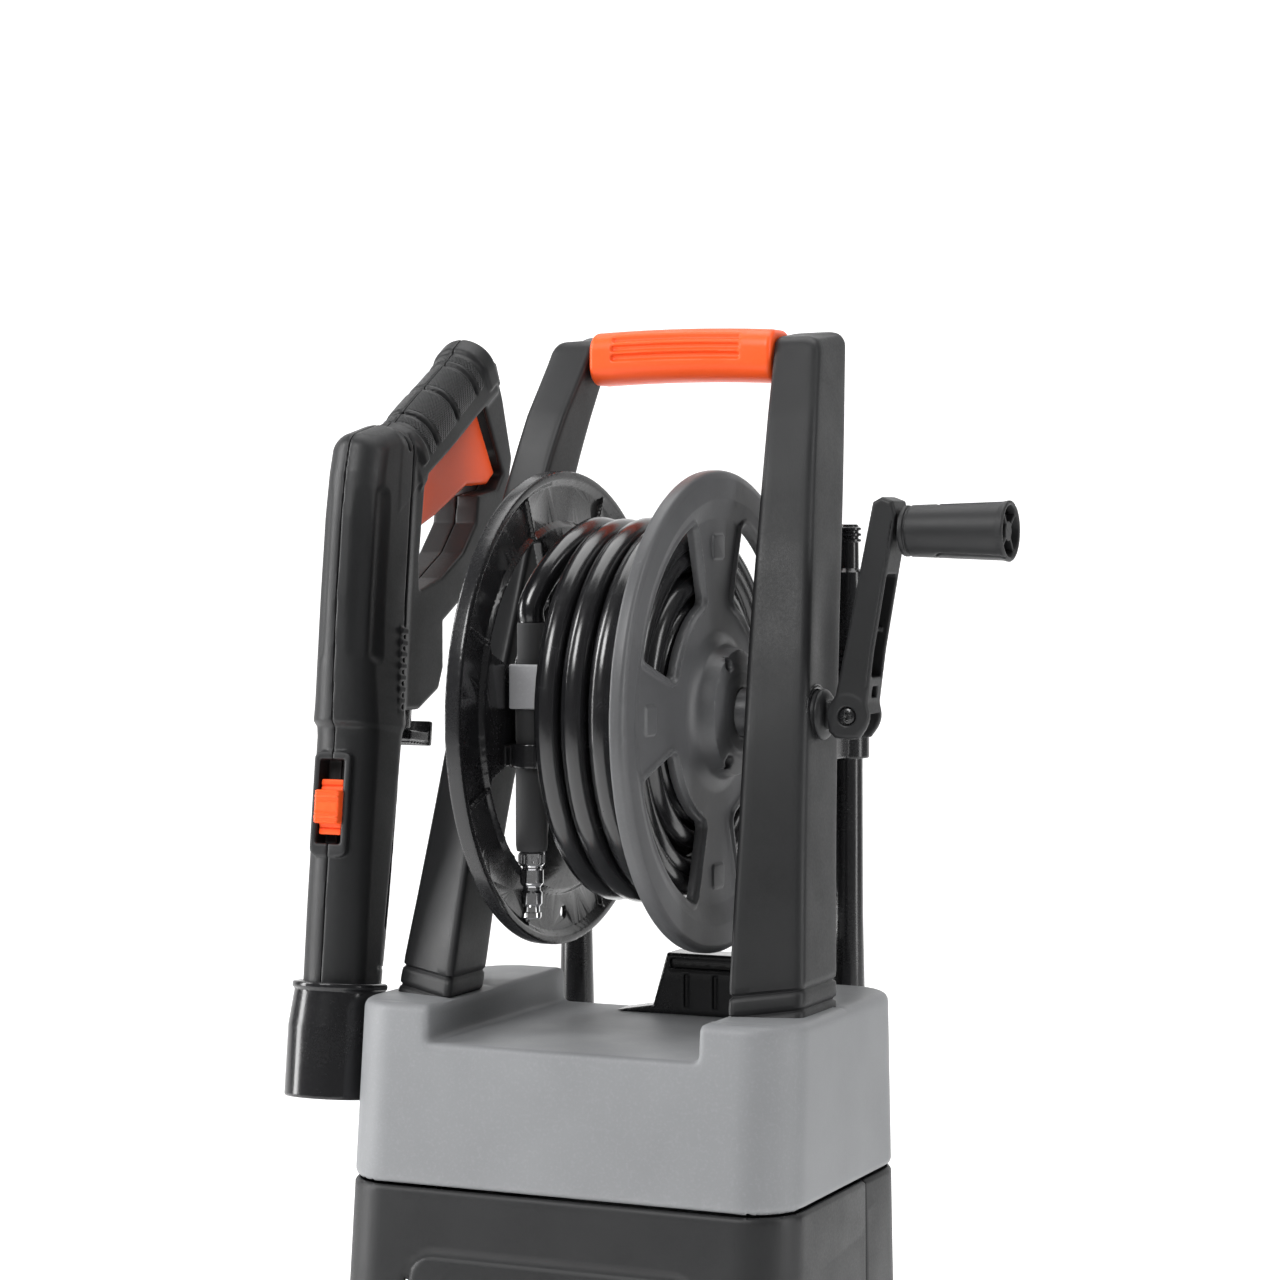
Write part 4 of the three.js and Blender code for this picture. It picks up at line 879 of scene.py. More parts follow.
def grip_pads(body, room):
    """The knurled skin between the finger grooves, a little proud of the shells."""
    s, out, length = grip_lines(room)
    lands = both(within(s, 2, length - 7), -5 - out + 0.02 * (s - 30), 1.5)
    for place in GRIP_GROOVES:
        lands = np.maximum(lands, 3.4 - np.abs(s - place))
    skin_only = both(body - 0.3, -0.9 - body)
    pads = both(both(skin_only, lands + 0 * room.x, 0.3), 0.7 - np.abs(room.x))
    return skin(room, pads, 60000)


def half_gun(side, body, room):
    return skin(room, both(body, 0.18 - side * room.x + 0 * body, 0.5), 70000)


def gun_trigger(room):
    shape = polygon(room.y, room.z, [(15.5, 256), (28, 246), (50, 257), (83, 277), (107, 281),
                                     (114, 287), (90, 317), (31, 275), (22, 279), (15.5, 279)], 0)
    bow = 9.6 - 0.9 * np.clip((room.z - 250) / 60, 0, 1) ** 2
    return skin(room, both(shape - 1.4, np.abs(room.x) - bow, 3), 16000)


def lock_slider(room):
    """The slide in the barrel's front with its ridged thumb knob."""
    front = -28.8
    slide = both(np.abs(room.x) - 6.4, within(room.z, 84, 112), 0.8)
    slide = both(slide, within(room.y, front + 0.8, front + 8), 0.8)
    taper = 0.08 * np.maximum(0, front - room.y) ** 1.5
    knob = both(np.abs(room.x) - 7.6 + taper, within(room.z, 89.5, 106.5), 1.4)
    ridge = 0.7 * (np.cos((room.z - 98) * 2 * math.pi / 2.6) > 0.2) * (np.abs(room.z - 98) > 2.6)
    knob = both(knob, within(room.y, front - 5.2 - ridge + 0.7, front + 2), 1.0)
    made = melt(slide, knob, 0.8)
    steps = both(np.abs(np.abs(room.z - 98) - 10.5) - 0.4, within(room.y, front, front + 1.5))
    return skin(room, carve(made, steps + 0 * room.x, 0.4), 14000)


def latch(room):
    """The hose release under the valve box: a plate with a hooked lip and a serrated underside."""
    plate = both(both(np.abs(room.x) - 10.5, within(room.y, 31, 56), 2.5), within(room.z, 136, 141), 0.8)
    lip = both(both(np.abs(room.x) - 10.5, within(room.y, 53, 57), 1.2), within(room.z, 134, 147), 1)
    teeth = both(within(room.y, 33, 52), np.abs(room.x) - 9) + 0 * room.z
    ribs = both(teeth, within(room.z, 134.4 + 0.9 * (np.cos(room.y * 2 * math.pi / 3.2) < 0), 137))
    made = melt(melt(plate, lip, 1.5), ribs, 0.4)
    hole = both(np.abs(room.x) - 7.2, within(room.y, 36, 47.5), 5)
    return skin(room, carve(made, hole + 0 * room.z, 0.5), 12000)


def holder(room):
    """The cup that the barrel stands in, flaring to its foot, with a thick lip and a notch cut in one side."""
    v0, v1 = -11.6, -1
    away = np.hypot(room.x, room.y - np.clip(room.y, v0, v1))
    flare = 0.12 * np.maximum(0, 6 - room.z)
    outer = both(away - 21.2 - np.minimum(flare, 2.2), within(room.z, -48, 10), 1.2)
    rim = both(away - 22.4, within(room.z, 6.5, 10), 1)
    cup = carve(melt(outer, rim, 0.8), both(away - 18.3, -41 - room.z), 0.8)
    notch = both(within(room.y, 2, 30), both(within(room.z, -14, 20), 8 - room.x), 0)
    cup = carve(cup, both(notch, 15 - away), 0.8)
    return skin(room, cup, 24000)


def add_gun():
    room = Room((-26, -41, -41.5), (26, 132, 360), GUN_CELL)
    body = gun_body(room)
    for side, name in ((-1, "left"), (1, "right")):
        half = half_gun(side, body, room)
        piece("gun_" + name + "_half", half, "gun", "leg_plastic", ["gun_shell_" + name], GUN_FRAME, 50)
    around_grip = Room((-19, 4, 270), (19, 116, 358), 0.6)
    pads = grip_pads(gun_body(around_grip), around_grip)
    piece("grip_knurl", pads, "gun", "leg_plastic", (), GUN_FRAME, 60, "knurl")
    pin_line = [(0, -13), (2.1, -13), (2.4, -12.6), (2.4, 12.6), (2.1, 13), (0, 13)]
    pin = turned(pin_line, "x", (0, 21, 262), 24)
    piece("trigger_pivot", pin, "gun", "steel", ["trigger_pin"], GUN_FRAME)
    small = Room((-12, 8, 240), (12, 118, 322), 0.7)
    piece("trigger_blade", gun_trigger(small), "trigger", "orange_plastic", ["gun_trigger"], GUN_FRAME, 50)
    small = Room((-10, -37, 80), (10, -18, 116), 0.4)
    piece("thumb_slider", lock_slider(small), "slider", "orange_plastic", ["lock_slider"], GUN_FRAME, 45)
    small = Room((-12, 29, 132), (12, 59, 149), 0.4)
    piece("hose_latch", latch(small), "latch", "black_plastic", ["gun_latch"], GUN_FRAME, 45)
    small = Room((-26, -38, -50), (26, 26, 12), 0.7)
    piece("gun_cup", holder(small), "frame", "black_plastic", ["gun_holder"], GUN_FRAME, 50)


add_gun()


# ---------------------------------------------------------------- crank
ARM_OUTLINE = [(106, -7.5), (109.5, -11), (122, -11), (124.5, -6), (129.3, 32), (135.5, 68), (140.8, 98),
               (139, 104.5), (133.5, 106.5), (128.8, 104), (113, 26)]
ARM_HALF = 10.4


def crank_arm():
    """The folding arm: a plate on edge, slotted on its outer face and forked round the tongue."""
    room = Room((101, -13, -14), (145, 13, 110), 0.55)
    outer = both(polygon(room.x, room.z, ARM_OUTLINE, -2.2) - 2.2, np.abs(room.y) - ARM_HALF, 2)
    foot = both(np.hypot(room.x - 116, room.z) - 11, np.abs(room.y) - ARM_HALF, 1.6)
    outer = melt(outer, foot, 1.5)
    fork = both(strut(room.x, room.z, (60, 0), (116, 0), 9), np.abs(room.y) - 6.4)
    outer = carve(outer, both(fork, np.abs(room.y) - 6.4), 0.6)
    heel = both(both(within(room.x, 90, 130), within(room.z, -30, 1)), np.abs(room.y) - 6.4)
    outer = carve(outer, heel, 0.6)
    lean = room.x - np.interp(room.z, [0, 32, 68, 98], [125.5, 129.3, 135.5, 140.8])
    slot = both(both(-lean - 9.5, within(room.z, 19, 69)), np.abs(room.y) - 7.2, 2)
    outer = carve(outer, slot, 1)
    web = both(both(-lean - 9.5, within(room.z, 41, 43)), np.abs(room.y) - 7.4)
    outer = melt(outer, both(web, lean + 3.2), 0.6)
    hole = both(both(-lean - 7, within(room.z, 9, 14.5)), np.abs(room.y) - 3.6, 0.8)
    outer = carve(outer, hole, 0.6)
    rim = both(both(np.abs(lean + 1.2) - 0.35, within(room.z, 14, 95)), ARM_HALF - 0.7 - np.abs(room.y))
    outer = carve(outer, rim, 0.5)
    recess = np.hypot(room.x - 116, room.z) - 4.6
    outer = carve(outer, both(recess, ARM_HALF - 1.6 - np.abs(room.y)), 0.6)
    spigot = both(np.hypot(room.y, room.z - 90) - 5, within(room.x, 130, 143))
    return skin(room, melt(outer, spigot, 0.6), 50000)


def crank_hub():
    """The boss beside the leg, belled to its face, with the tongue that the arm folds round."""
    room = Room((80, -16, -16), (126, 16, 16), 0.55)
    away = np.hypot(room.y, room.z)
    journal = both(away - 11.9, within(room.x, 81, 101))
    swell = 0.22 * (room.x - 99.5) ** 2 * (room.x > 99.5)
    bell = both(away - 12.8 + swell, within(room.x, 99.4, 103.4), 0.8)
    tongue = both(strut(room.x, room.z, (95, 0), (116, 0), 7), np.abs(room.y) - 5.9, 0.8)
    made = melt(melt(journal, bell, 0.6), tongue, 1.2)
    return skin(room, carve(made, np.hypot(room.x - 116, room.z) - 3.2, 0.3), 16000)


def crank_screw():
    """A round head with a cross recess on the front of the pin, and a rivet head behind."""
    room = Room((111, -13, -5), (121, 12.5, 5), 0.3)
    away = np.hypot(room.x - 116, room.z)
    shank = both(away - 2.7, np.abs(room.y) - 9.6)
    head = both(away - 4.1, within(room.y, -10.6 + 0.06 * away**2, -8.6), 0.4)
    back = both(away - 4, within(room.y, 8.6, 10.4 - 0.05 * away**2), 0.4)
    cross = np.minimum(both(np.abs(room.x - 116) - 0.55, np.abs(room.z) - 2.3),
                       both(np.abs(room.z) - 0.55, np.abs(room.x - 116) - 2.3))
    made = melt(melt(shank, head), back)
    return skin(room, carve(made, both(cross, room.y + 9.2), 0.2), 12000)


def crank_grip():
    """The turning grip: a ring at its root, tongue panels and an open end with crossed ribs."""
    low, high = reach("crank_grip")
    x0, x1 = low[0], high[0]
    room = Room((x0 - 1, -16.5, 73), (x1 + 1, 16.5, 107), 0.5)
    z = room.z - 90
    t = np.clip((room.x - x0) / (x1 - x0), 0, 1)
    away = np.hypot(room.y, z)
    radius = 12.4 + 1.9 * t + 0.7 * np.clip((t - 0.93) / 0.07, 0, 1)
    bar = both(away - radius, within(room.x, x0, x1), 1.2)
    bar = carve(bar, both(np.abs(room.x - x0 - 3.4) - 0.6, radius - 0.9 - away), 0.5)
    for angle in (-100, 80):
        turn = math.radians(angle)
        along = room.y * math.cos(turn) + z * math.sin(turn)
        across = room.y * math.sin(turn) - z * math.cos(turn)
        panel = strut(room.x, across, (x0 + 22, 0), (x1 + 20, 0), 5.2)
        edge = both(np.abs(panel) - 0.5, both(along * -1, radius - 0.7 - away))
        bar = carve(bar, both(edge, x0 + 15 - room.x), 0.4)
    pocket = both(away - radius + 2.4, x1 - 13 - room.x, 1)
    ribs = np.minimum(np.abs(room.y + 0.8 * z) / 1.28 - 0.9, np.abs(z - 0.8 * room.y) / 1.28 - 0.9)
    ribs = melt(ribs, away - 4.8, 0.5)
    bar = carve(bar, carve(pocket, both(ribs, room.x - x1 + 1.2), 0.3), 0.4)
    bore = both(away - 5.3, room.x - (x1 - 7))
    return skin(room, carve(bar, bore), 45000)


def add_crank():
    piece("crank_hub_boss", crank_hub(), "reel", "leg_plastic", ["crank_hub"], sharp=45)
    piece("crank_folding_arm", crank_arm(), "crank", "leg_plastic", ["crank_arm"], sharp=45)
    piece("crank_screw", crank_screw(), "crank", "black_plastic", ["crank_pin"], sharp=45)
    piece("crank_hand_grip", crank_grip(), "crank_knob", "satin_black", ["crank_grip"], sharp=45,
          look="leg_plastic")


add_crank()


# ---------------------------------------------------------------- housing
HOUSE_LOW, HOUSE_HIGH = 14 - 630, 488 - 630  # heights from the reel axle
HOUSE_HALF, HOUSE_FRONT, HOUSE_REAR = (124, 118), (-135, -90), (78, 66)
COVER_LOW, CHANNEL, TRAY_HIGH = -230, -160, -514
SPLIT = 10
HOUSE_WALL = 3
HOUSE_CORNER = 27
LANCE_X, LANCE_Y, LANCE_FOOT = 78, 92, -358.3
KNOB_HEIGHT = -330


def house_distance(room, grow=0.0):
    """The tapered block with broad corners that the covers and the tray are cut from."""
    t = (room.z - HOUSE_LOW) / (HOUSE_HIGH - HOUSE_LOW)
    half = HOUSE_HALF[0] + (HOUSE_HALF[1] - HOUSE_HALF[0]) * t
    front = HOUSE_FRONT[0] + (HOUSE_FRONT[1] - HOUSE_FRONT[0]) * t
    rear = HOUSE_REAR[0] + (HOUSE_REAR[1] - HOUSE_REAR[0]) * t
    ends = np.maximum(front - room.y, room.y - rear)
    return both(np.abs(room.x) - half - grow, ends - grow, HOUSE_CORNER + grow)


def top_cover():
    """The grey cover: a channel between two shoulders, with a line round each leg."""
    room = Room((-121, -100, COVER_LOW - 2), (121, 71, HOUSE_HIGH + 2), 1.5)
    outer = both(house_distance(room), within(room.z, COVER_LOW, HOUSE_HIGH), 4.5)
    channel = both(np.abs(room.x) - 72 + 0 * room.y, CHANNEL - room.z, 3)
    outer = carve(outer, channel, 3.5)
    inside = both(house_distance(room, -HOUSE_WALL), room.z - CHANNEL + HOUSE_WALL)
    outer = carve(outer, inside, 1.5)
    for side in (-1, 1):
        plinth = both(np.abs(room.x - side * 97) - 22, within(room.y, -80, -10), 8)
        rim = both(np.abs(plinth) - 0.8, HOUSE_HIGH - 1.2 - room.z)
        outer = carve(outer, rim, 0.6)
    return skin(room, outer, 60000)


def cover_half(front):
    """Half of the middle shell: side vents and a framed panel in front, lance sockets behind."""
    y0, y1 = (-137, SPLIT + 1) if front else (SPLIT - 1, 112)
    room = Room((-126, y0, TRAY_HIGH - 2), (126, y1, COVER_LOW + 2), 1.7)
    body = house_distance(room)
    outer = both(body, within(room.z, TRAY_HIGH, COVER_LOW - 0.3), 1.5)
    if not front:
        for side in (-1, 1):
            cup = both(np.abs(room.x - side * LANCE_X) - 12, np.abs(room.y - 84) - 20, 8)
            cup = both(cup, within(room.z, -364, -324), 1.5)
            outer = melt(outer, cup, 2)
    outer = carve(outer, house_distance(room, -HOUSE_WALL), 0.8)
    for side in (-1, 1):
        row = np.abs((room.z + 390) % 11 - 5.5) - 2.4
        y_low, y_high = (-75, -18) if front else (22, 52)
        area = both(both(within(room.z, -390, -291), within(room.y, y_low, y_high)), 95 - side * room.x)
        outer = carve(outer, both(row, area), 1.2)
    if front:
        panel = both(np.abs(room.x) - 78, within(room.z, -480, -262), 14)
        front_line = np.interp(room.z, (HOUSE_LOW, HOUSE_HIGH), HOUSE_FRONT)
        outer = carve(outer, both(np.abs(panel) - 1.1, room.y - front_line - 1.5), 1)
        beside = np.hypot(room.x, room.z - KNOB_HEIGHT)
        pad = both(both(beside - 29, room.y - front_line - 8), front_line - 6 - room.y, 1.5)
        outer = melt(outer, pad, 2)
        outer = carve(outer, both(beside - 5, room.y - front_line - 20), 0.5)
        outer = both(outer, room.y - SPLIT + 0.15)
    else:
        for side in (-1, 1):
            bore = np.hypot(room.x - side * LANCE_X, room.y - LANCE_Y) - 8.8
            bore = both(bore, LANCE_FOOT - room.z)
            outer = carve(outer, bore, 0.8)
        outer = carve(outer, both(np.hypot(room.x + 40, room.z + 450) - 9.3, 40 - room.y), 0.5)
        for i in range(5):
            groove = both(np.abs(room.x - 20 - 9 * i) - 1.2, within(room.z, -480, -400), 0.8)
            outer = carve(outer, both(groove, 1.5 - (room.y - 68)), 0.8)
        outer = both(outer, SPLIT + 0.15 - room.y)
    return skin(room, outer, 60000)


def tray():
    """The base: a thick rim, a step, the inlet's opening and a bore for the axle."""
    room = Room((-127, -138, HOUSE_LOW - 1), (127, 81, TRAY_HIGH + 1), 1.7)
    outer = both(house_distance(room), within(room.z, HOUSE_LOW + 0.3, TRAY_HIGH - 0.3), 3)
    inside = both(house_distance(room, -HOUSE_WALL), HOUSE_LOW + 6 - room.z)
    outer = carve(outer, inside, 0.8)
    for z in (TRAY_HIGH - 10, TRAY_HIGH - 84):
        outer = carve(outer, both(np.abs(room.z - z) - 1.2, -1.4 - house_distance(room)), 1)
    outer = carve(outer, both(np.hypot(room.y - 62, room.z + 555) - 6.6, -200 - room.x), 0.6)
    hole = np.hypot(room.x, room.z + 533) - 15
    outer = carve(outer, both(hole, room.y + 80), 1)
    ring = both(both(np.abs(hole - 2.6) - 1.4, within(room.y, -132, -118)), room.y + 100, 1)
    return skin(room, melt(outer, ring, 1), 50000)


def rear_bracket():
    """The black moulding behind the reel: a sloping wedge with a lip and four web grooves across its face."""
    low, high = reach("rear_bracket")
    room = Room((low[0] - 2, low[1] - 2, low[2] - 2), (high[0] + 2, high[1] + 2, high[2] + 2), 0.8)
    left, foot, right, top = low[0], low[2], high[0], high[2]
    outline = [(left, foot), (left + 23, foot + 4), (left + 31, top), (right, top), (right, foot)]
    body = both(polygon(room.x, room.z, outline, -1.5) - 1.5, within(room.y, low[1], high[1]), 1.5)
    lip = both(within(room.x, low[0] + 33, high[0] - 4), within(room.z, high[2] - 8, high[2] - 3), 1)
    body = carve(body, both(lip, room.y - low[1] - 3), 0.8)
    for i in range(4):
        web = both(np.abs(room.x - low[0] - 42 - 16 * i) - 1, within(room.z, low[2] + 4, high[2] - 11))
        body = carve(body, both(web, room.y - low[1] - 1.6), 0.8)
    return skin(room, body, 14000)


def power_knob():
    """The dial with a fluted edge and a raised bar to turn it by."""
    low, high = reach("power_knob")
    cx, cz, radius = 0, (low[2] + high[2]) / 2, (high[0] - low[0]) / 2
    room = Room((-radius - 1, low[1] - 1, low[2] - 1), (radius + 1, high[1] + 1, high[2] + 1), 0.6)
    away = np.hypot(room.x - cx, room.z - cz)
    angle = np.arctan2(room.z - cz, room.x - cx)
    flutes = 0.35 * (1 + np.cos(angle * 40))
    dial = both(away - radius + flutes, within(room.y, low[1] + 8.2, low[1] + 19.5), 2)
    bar = strut(room.x, room.z, (0, cz - radius + 9), (0, cz + radius - 8), 4.6)
    bar = both(bar, within(room.y, low[1], low[1] + 10), 2)
    dish = both(np.abs(away - 13) - 5, room.y - low[1] - 9.2)
    dial = carve(dial, both(dish, 1 + 0 * room.x), 1.2)
    stem = both(away - 4.3, within(room.y, low[1] + 18, high[1]), 0.5)
    return skin(room, melt(melt(dial, bar, 1.5), stem, 0.5), 22000)


def add_housing():
    piece("grey_top_cover", top_cover(), "frame", "cover_grey", ["top_cover"], sharp=45)
    piece("front_shell", cover_half(True), "frame", "leg_plastic", ["front_cover"], sharp=45)
    piece("rear_shell", cover_half(False), "frame", "satin_black", ["rear_cover"], sharp=45,
          look="leg_plastic")
    piece("foot_tray", tray(), "frame", "leg_plastic", ["base_tray"], sharp=45)
    piece("channel_bracket", rear_bracket(), "frame", "black_plastic", ["rear_bracket"], sharp=45)
    piece("power_dial", power_knob(), BODY_OF["power_knob"], "orange_plastic", ["power_knob"], sharp=45)


add_housing()


# ---------------------------------------------------------------- wheels and feet
def wheel(side):
    """A tyre with a chevron tread on a rim with six spokes and a hub cap."""
    name = "wheel_right" if side > 0 else "wheel_left"
    low, high = reach(name)
    radius = (high[2] - low[2]) / 2
    cy, cz = (low[1] + high[1]) / 2, (low[2] + high[2]) / 2
    room = Room((low[0] - 1, low[1] - 1, low[2] - 1), (high[0] + 1, high[1] + 1, high[2] + 1), 1.15)
    inner = low[0] if side > 0 else high[0]
    x = side * (room.x - inner)  # 0 at the housing, outwards
    y, z = room.y - cy, room.z - cz
    away, angle = np.hypot(y, z), np.arctan2(z, y)
    width = high[0] - low[0]
    tyre = both(both(away - radius + 0.2, 57 - away), within(x, 0, width), 5)
    tread = np.abs((angle * 18 / math.pi + 0.06 * np.abs(x - width / 2)) % 1 - 0.5) - 0.16
    tyre = carve(tyre, both(both(tread * 8, np.abs(x - width / 2) - 11.5), radius - 2.2 - away), 0.8)
    rim = both(both(away - 60, 50 - away), within(x, 3, width - 5), 2)
    web = both(both(away - 54, 16 - away), within(x, 8, 14), 1)
    gaps = 0 * away + 99.0
    for i in range(6):
        centre = math.pi / 3 * i
        turn = np.abs((angle - centre + math.pi) % (2 * math.pi) - math.pi)
        gaps = np.minimum(gaps, both(away * (turn - 0.34), within(away, 24, 46), 4))
    web = carve(web, gaps, 1)
    ribs = np.abs((angle * 3 / math.pi + 0.5) % 1 - 0.5) * away * math.pi / 3 - 1.6
    web = melt(web, both(both(ribs, within(away, 14, 53)), within(x, 8, 19), 1), 1.5)
    hub = both(both(away - 18, 6.4 - away), within(x, 0, width), 1.5)
    cap = both(away - 13, within(x, width - 3, width - 0.1), 1.2)
    made = melt(melt(melt(melt(tyre, rim), web, 1), hub, 1.5), cap, 0.5)
    return skin(room, made, 60000)


def floor_foot(name):
    """A rubber foot: a ribbed collar under a domed pad."""
    low, high = reach(name)
    x, y = (low[0] + high[0]) / 2, (low[1] + high[1]) / 2
    line = [(0, low[2]), (8, low[2]), (9, low[2] + 0.8), (12.4, low[2] + 0.8), (13.6, low[2] + 2)]
    for i in range(3):
        z = low[2] + 3.4 + 2.6 * i
        rib, neck = 13.8 - 0.4 * i, 12.6 - 0.4 * i
        line += [(rib, z), (rib, z + 1.4), (neck, z + 1.8), (neck, z + 2.4)]
    line += [(12, high[2] - 1), (11.4, high[2]), (0, high[2])]
    return turned(line, "z", (x, y, 0), 48)


def add_wheels():
    for side, name in ((-1, "wheel_left"), (1, "wheel_right")):
        piece(name + "_tyre", wheel(side), BODY_OF[name], "tyre", [name], sharp=45)
    for name in ("foot_left", "foot_right"):
        piece(name + "_pad", floor_foot(name), "frame", "rubber", [name])


add_wheels()


# ---------------------------------------------------------------- stored lances
def lance_tube(side):
    """The tube: ribbed where it is handled, thicker below, with a bayonet foot."""
    low, high = reach("turbo_lance" if side > 0 else "fan_lance")
    x, y = (low[0] + high[0]) / 2, (low[1] + high[1]) / 2
    foot, top = low[2], high[2]
    line = [(0, foot), (5.6, foot), (6, foot + 1), (6, foot + 12), (7.6, foot + 13), (7.8, foot + 30)]
    line += [(10.2, foot + 33), (10.2, foot + 40), (9.6, foot + 48)]
    for i in range(14):
        z = foot + 60 + 9 * i
        line += [(9.6, z), (9.6, z + 6), (8.9, z + 6.6), (8.9, z + 8.4)]
    line += [(9.4, foot + 190), (8, foot + 250), (7.6, top - 60), (7.6, top - 18), (8, top - 17)]
    line += [(8, top - 14.6), (5, top - 14), (5, top), (0, top)]
    return turned(line, "z", (x, y, 0), 40)


def lance_tip(side, fat):
    """The nozzle: a ribbed grip band, a tapered body and coils of a spring round its tip."""
    low, high = reach("turbo_nozzle" if side > 0 else "fan_nozzle")
    x, y = (low[0] + high[0]) / 2, (low[1] + high[1]) / 2
    base, top = low[2], high[2]
    line = [(0, base + 15), (5.3, base + 15), (5.3, base), (fat - 1.5, base), (fat - 0.6, base + 1)]
    for i in range(5):
        z = base + 2.2 + 3.4 * i
        line += [(fat - 0.2, z), (fat - 0.2, z + 2), (fat - 1.4, z + 2.4), (fat - 1.4, z + 3)]
    line += [(fat - 1.0, base + 21), (fat - 1.8, base + 40), (fat - 3.0, base + 58)]
    line += [(5.4, base + 60), (5.2, top - 10)]
    for i in range(3):
        z = top - 9.4 + 3 * i
        line += [(5.2, z), (6.6, z + 0.6), (6.6, z + 1.6), (5.2, z + 2.2)]
    line += [(5.0, top - 0.6), (4.6, top), (2.2, top), (1.4, top - 3), (0, top - 3)]
    return turned(line, "z", (x, y, 0), 48)


def lance_clip(side):
    """A sprung ring on an arm from the back of the leg, with two webs."""
    name = "lance_clip_right" if side > 0 else "lance_clip_left"
    low, high = reach(name)
    x, y, z = side * LANCE_X, LANCE_Y, (low[2] + high[2]) / 2
    half = (high[2] - low[2]) / 2
    room = Room((x - 13, low[1] - 1, low[2] - 1), (x + 13, high[1] + 1, high[2] + 1), 0.55)
    away = np.hypot(room.x - x, room.y - y)
    ring = both(np.abs(away - 9.7) - 1.3, np.abs(room.z - z) - half, 0.8)
    mouth = both(both(np.abs(room.x - x) - 4.5, y - room.y), np.abs(room.z - z) - half - 2)
    ring = carve(ring, mouth, 0.8)
    level = np.abs(room.z - z)
    stalk = both(both(np.abs(room.x - x) - 3.8, within(room.y, low[1], y - 9.4)), level - 4.8, 0.8)
    webs = both(np.abs(np.abs(room.x - x) - 3) - 0.8, within(room.y, low[1], y - 8))
    webs = both(webs, level - 7)
    return skin(room, melt(melt(ring, stalk, 1), webs, 0.8), 16000)


def add_lances():
    piece("fan_lance_tube", lance_tube(-1), BODY_OF["fan_lance"], "black_plastic", ["fan_lance"])
    piece("turbo_lance_tube", lance_tube(1), BODY_OF["turbo_lance"], "black_plastic", ["turbo_lance"])
    for side, name, fat in ((-1, "fan_nozzle", 9), (1, "turbo_nozzle", 10.5)):
        piece(name + "_tip", lance_tip(side, fat), BODY_OF[name], "black_plastic", [name])
    piece("left_lance_ring", lance_clip(-1), "frame", "black_plastic", ["lance_clip_left"])
    piece("right_lance_ring", lance_clip(1), "frame", "black_plastic", ["lance_clip_right"])


add_lances()


# ---------------------------------------------------------------- CAD pieces that stay
EDGE = {"steel": 0.3, "alloy": 0.6, "brass": 0.3}


def finish_nodes():
    """The CAD pieces still shown: softened edges, smooth round faces and their slot's material."""
    for name, obj in frame["nodes"].items():
        if obj.hide_render:
            continue
        slot = SLOT_OF[name]
        obj.data.materials.clear()
        obj.data.materials.append(LOOKS[slot].material)
        weld = obj.modifiers.new("weld", "WELD")
        weld.merge_threshold = 0.01 * MM
        bevel = obj.modifiers.new("soft_edges", "BEVEL")
        bevel.width = EDGE.get(slot, 0.8) * MM
        bevel.segments = 2
        bevel.limit_method = "ANGLE"
        bevel.angle_limit = math.radians(35)
        bevel.harden_normals = True
        obj.data.polygons.foreach_set("use_smooth", [True] * len(obj.data.polygons))


finish_nodes()


# ---------------------------------------------------------------- floor and light
WORLD_FILL, WORLD_SEEN = 0.16, 1.0
FLOOR_HALF_WIDTH = 4.5
FLOOR_FRONT, FLOOR_BACK, COVE, WALL_TOP = -2.6, 2.4, 1.2, 4.2


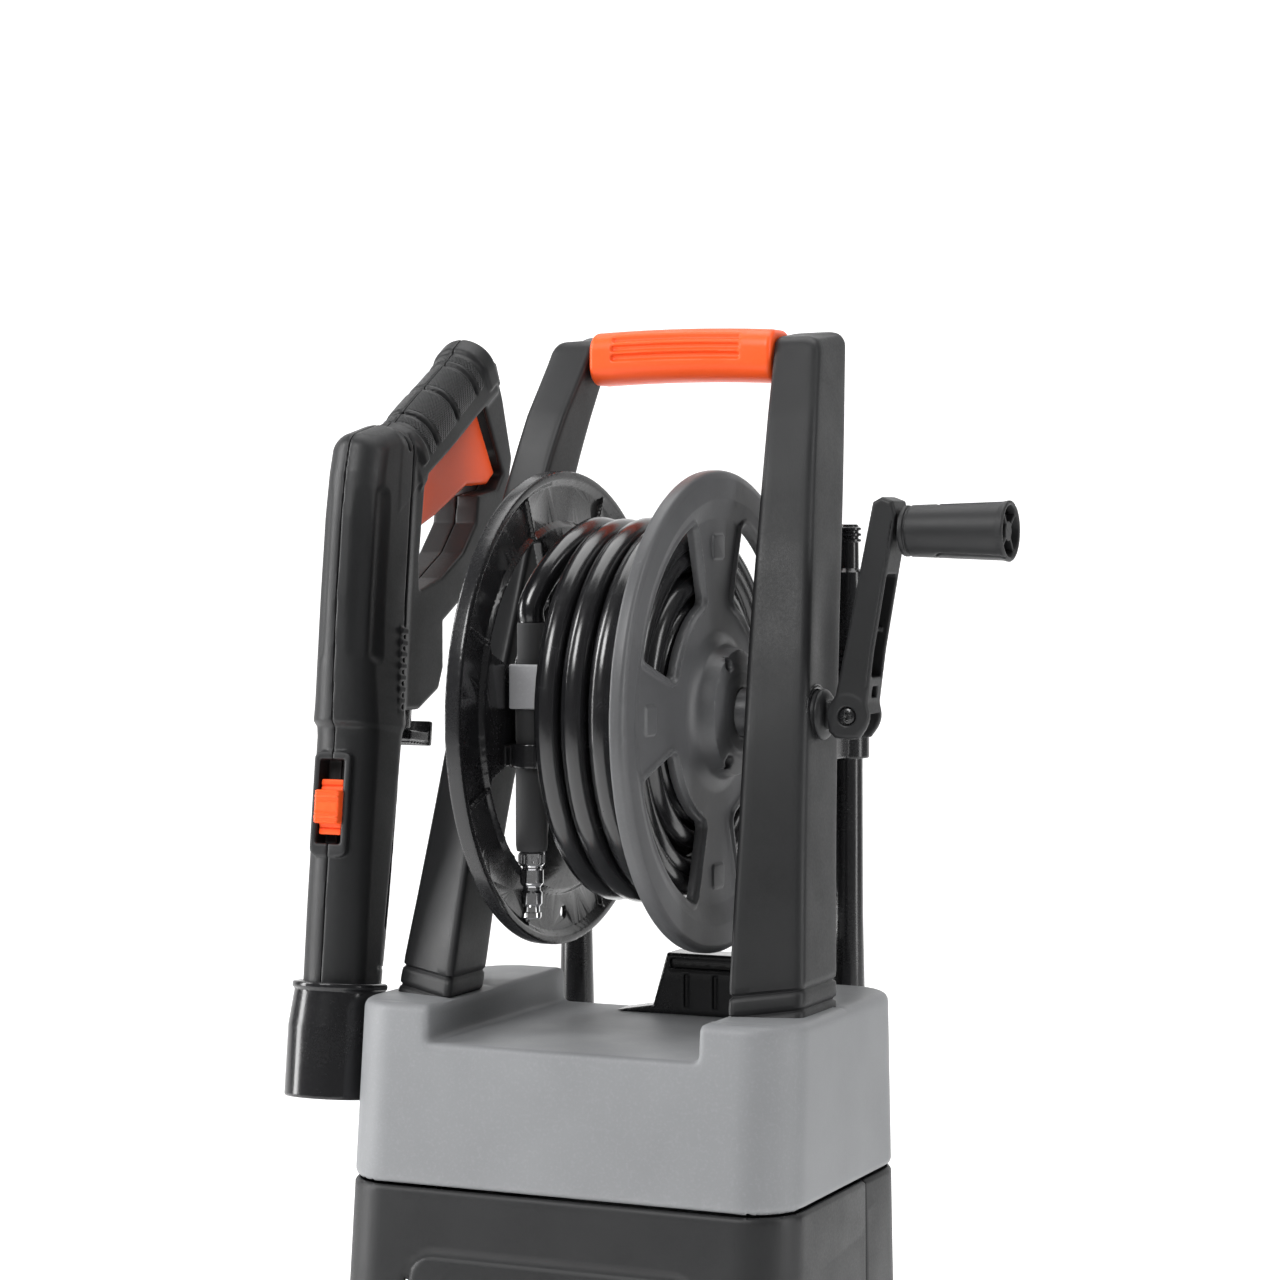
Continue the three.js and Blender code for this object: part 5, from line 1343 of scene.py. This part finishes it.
def add_floor():
    """A pale floor that sweeps up into a backdrop behind the machine, square to the camera."""
    turn = CAMERA_YAW
    across = Vector((math.cos(turn), math.sin(turn), 0))
    back = Vector((-math.sin(turn), math.cos(turn), 0))
    line = [(FLOOR_FRONT, 0), (FLOOR_BACK, 0)]
    for step in range(1, 25):
        angle = math.pi / 2 * step / 24
        line.append((FLOOR_BACK + COVE * math.sin(angle), COVE * (1 - math.cos(angle))))
    line.append((FLOOR_BACK + COVE, WALL_TOP))
    points = []
    for along, height in line:
        for side in (-FLOOR_HALF_WIDTH, FLOOR_HALF_WIDTH):
            points.append(across * side + back * along + Vector((0, 0, height)))
    faces = [(2 * i, 2 * i + 1, 2 * i + 3, 2 * i + 2) for i in range(len(line) - 1)]
    mesh = bpy.data.meshes.new("floor")
    mesh.from_pydata(points, [], faces)
    mesh.polygons.foreach_set("use_smooth", [True] * len(faces))
    floor = bpy.data.objects.new("floor", mesh)
    scene.collection.objects.link(floor)
    n = Nodes("pale_floor")
    n.link(n.blend(n.fit(n.noise(400, 3), 0, 1), (0.86, 0.86, 0.86, 1), (0.9, 0.9, 0.9, 1)), "Base Color")
    n.shader.inputs["Roughness"].default_value = 0.7
    n.shader.inputs["Emission Color"].default_value = (1, 1, 1, 1)
    n.shader.inputs["Emission Strength"].default_value = 0.6
    mesh.materials.append(n.material)


def add_softbox(name, place, width, height, power, target):
    data = bpy.data.lights.new(name, "AREA")
    data.shape = "RECTANGLE"
    data.size, data.size_y, data.energy = width, height, power
    light = bpy.data.objects.new(name, data)
    light.location = place
    light.rotation_mode = "QUATERNION"
    light.rotation_quaternion = (Vector(target) - Vector(place)).to_track_quat("-Z", "Y")
    scene.collection.objects.link(light)


def add_light():
    """A tall strip on each side and panels above; the world looks white but fills in only faintly."""
    world = bpy.data.worlds.new("studio")
    world.use_nodes = True
    nodes, links = world.node_tree.nodes, world.node_tree.links
    strength = nodes.new("ShaderNodeMapRange")
    strength.inputs["To Min"].default_value = WORLD_FILL
    strength.inputs["To Max"].default_value = WORLD_SEEN
    links.new(nodes.new("ShaderNodeLightPath").outputs["Is Camera Ray"], strength.inputs["Value"])
    links.new(strength.outputs["Result"], nodes["Background"].inputs["Strength"])
    nodes["Background"].inputs["Color"].default_value = (1, 1, 1, 1)
    scene.world = world
    scene.view_settings.view_transform = "Standard"
    add_softbox("left_strip", REEL + Vector((-1.7, -0.7, 0.5)), 0.45, 2.0, 38, REEL)
    add_softbox("right_strip", REEL + Vector((1.9, 0.1, 0.5)), 0.45, 2.0, 17, REEL)
    add_softbox("front_high", REEL + Vector((-0.3, -1.9, 1.5)), 0.9, 0.9, 36, REEL)
    add_softbox("top_panel", REEL + Vector((0, 0.4, 2.0)), 2.0, 1.4, 30, REEL)


add_floor()
add_light()

bpy.context.view_layer.update()
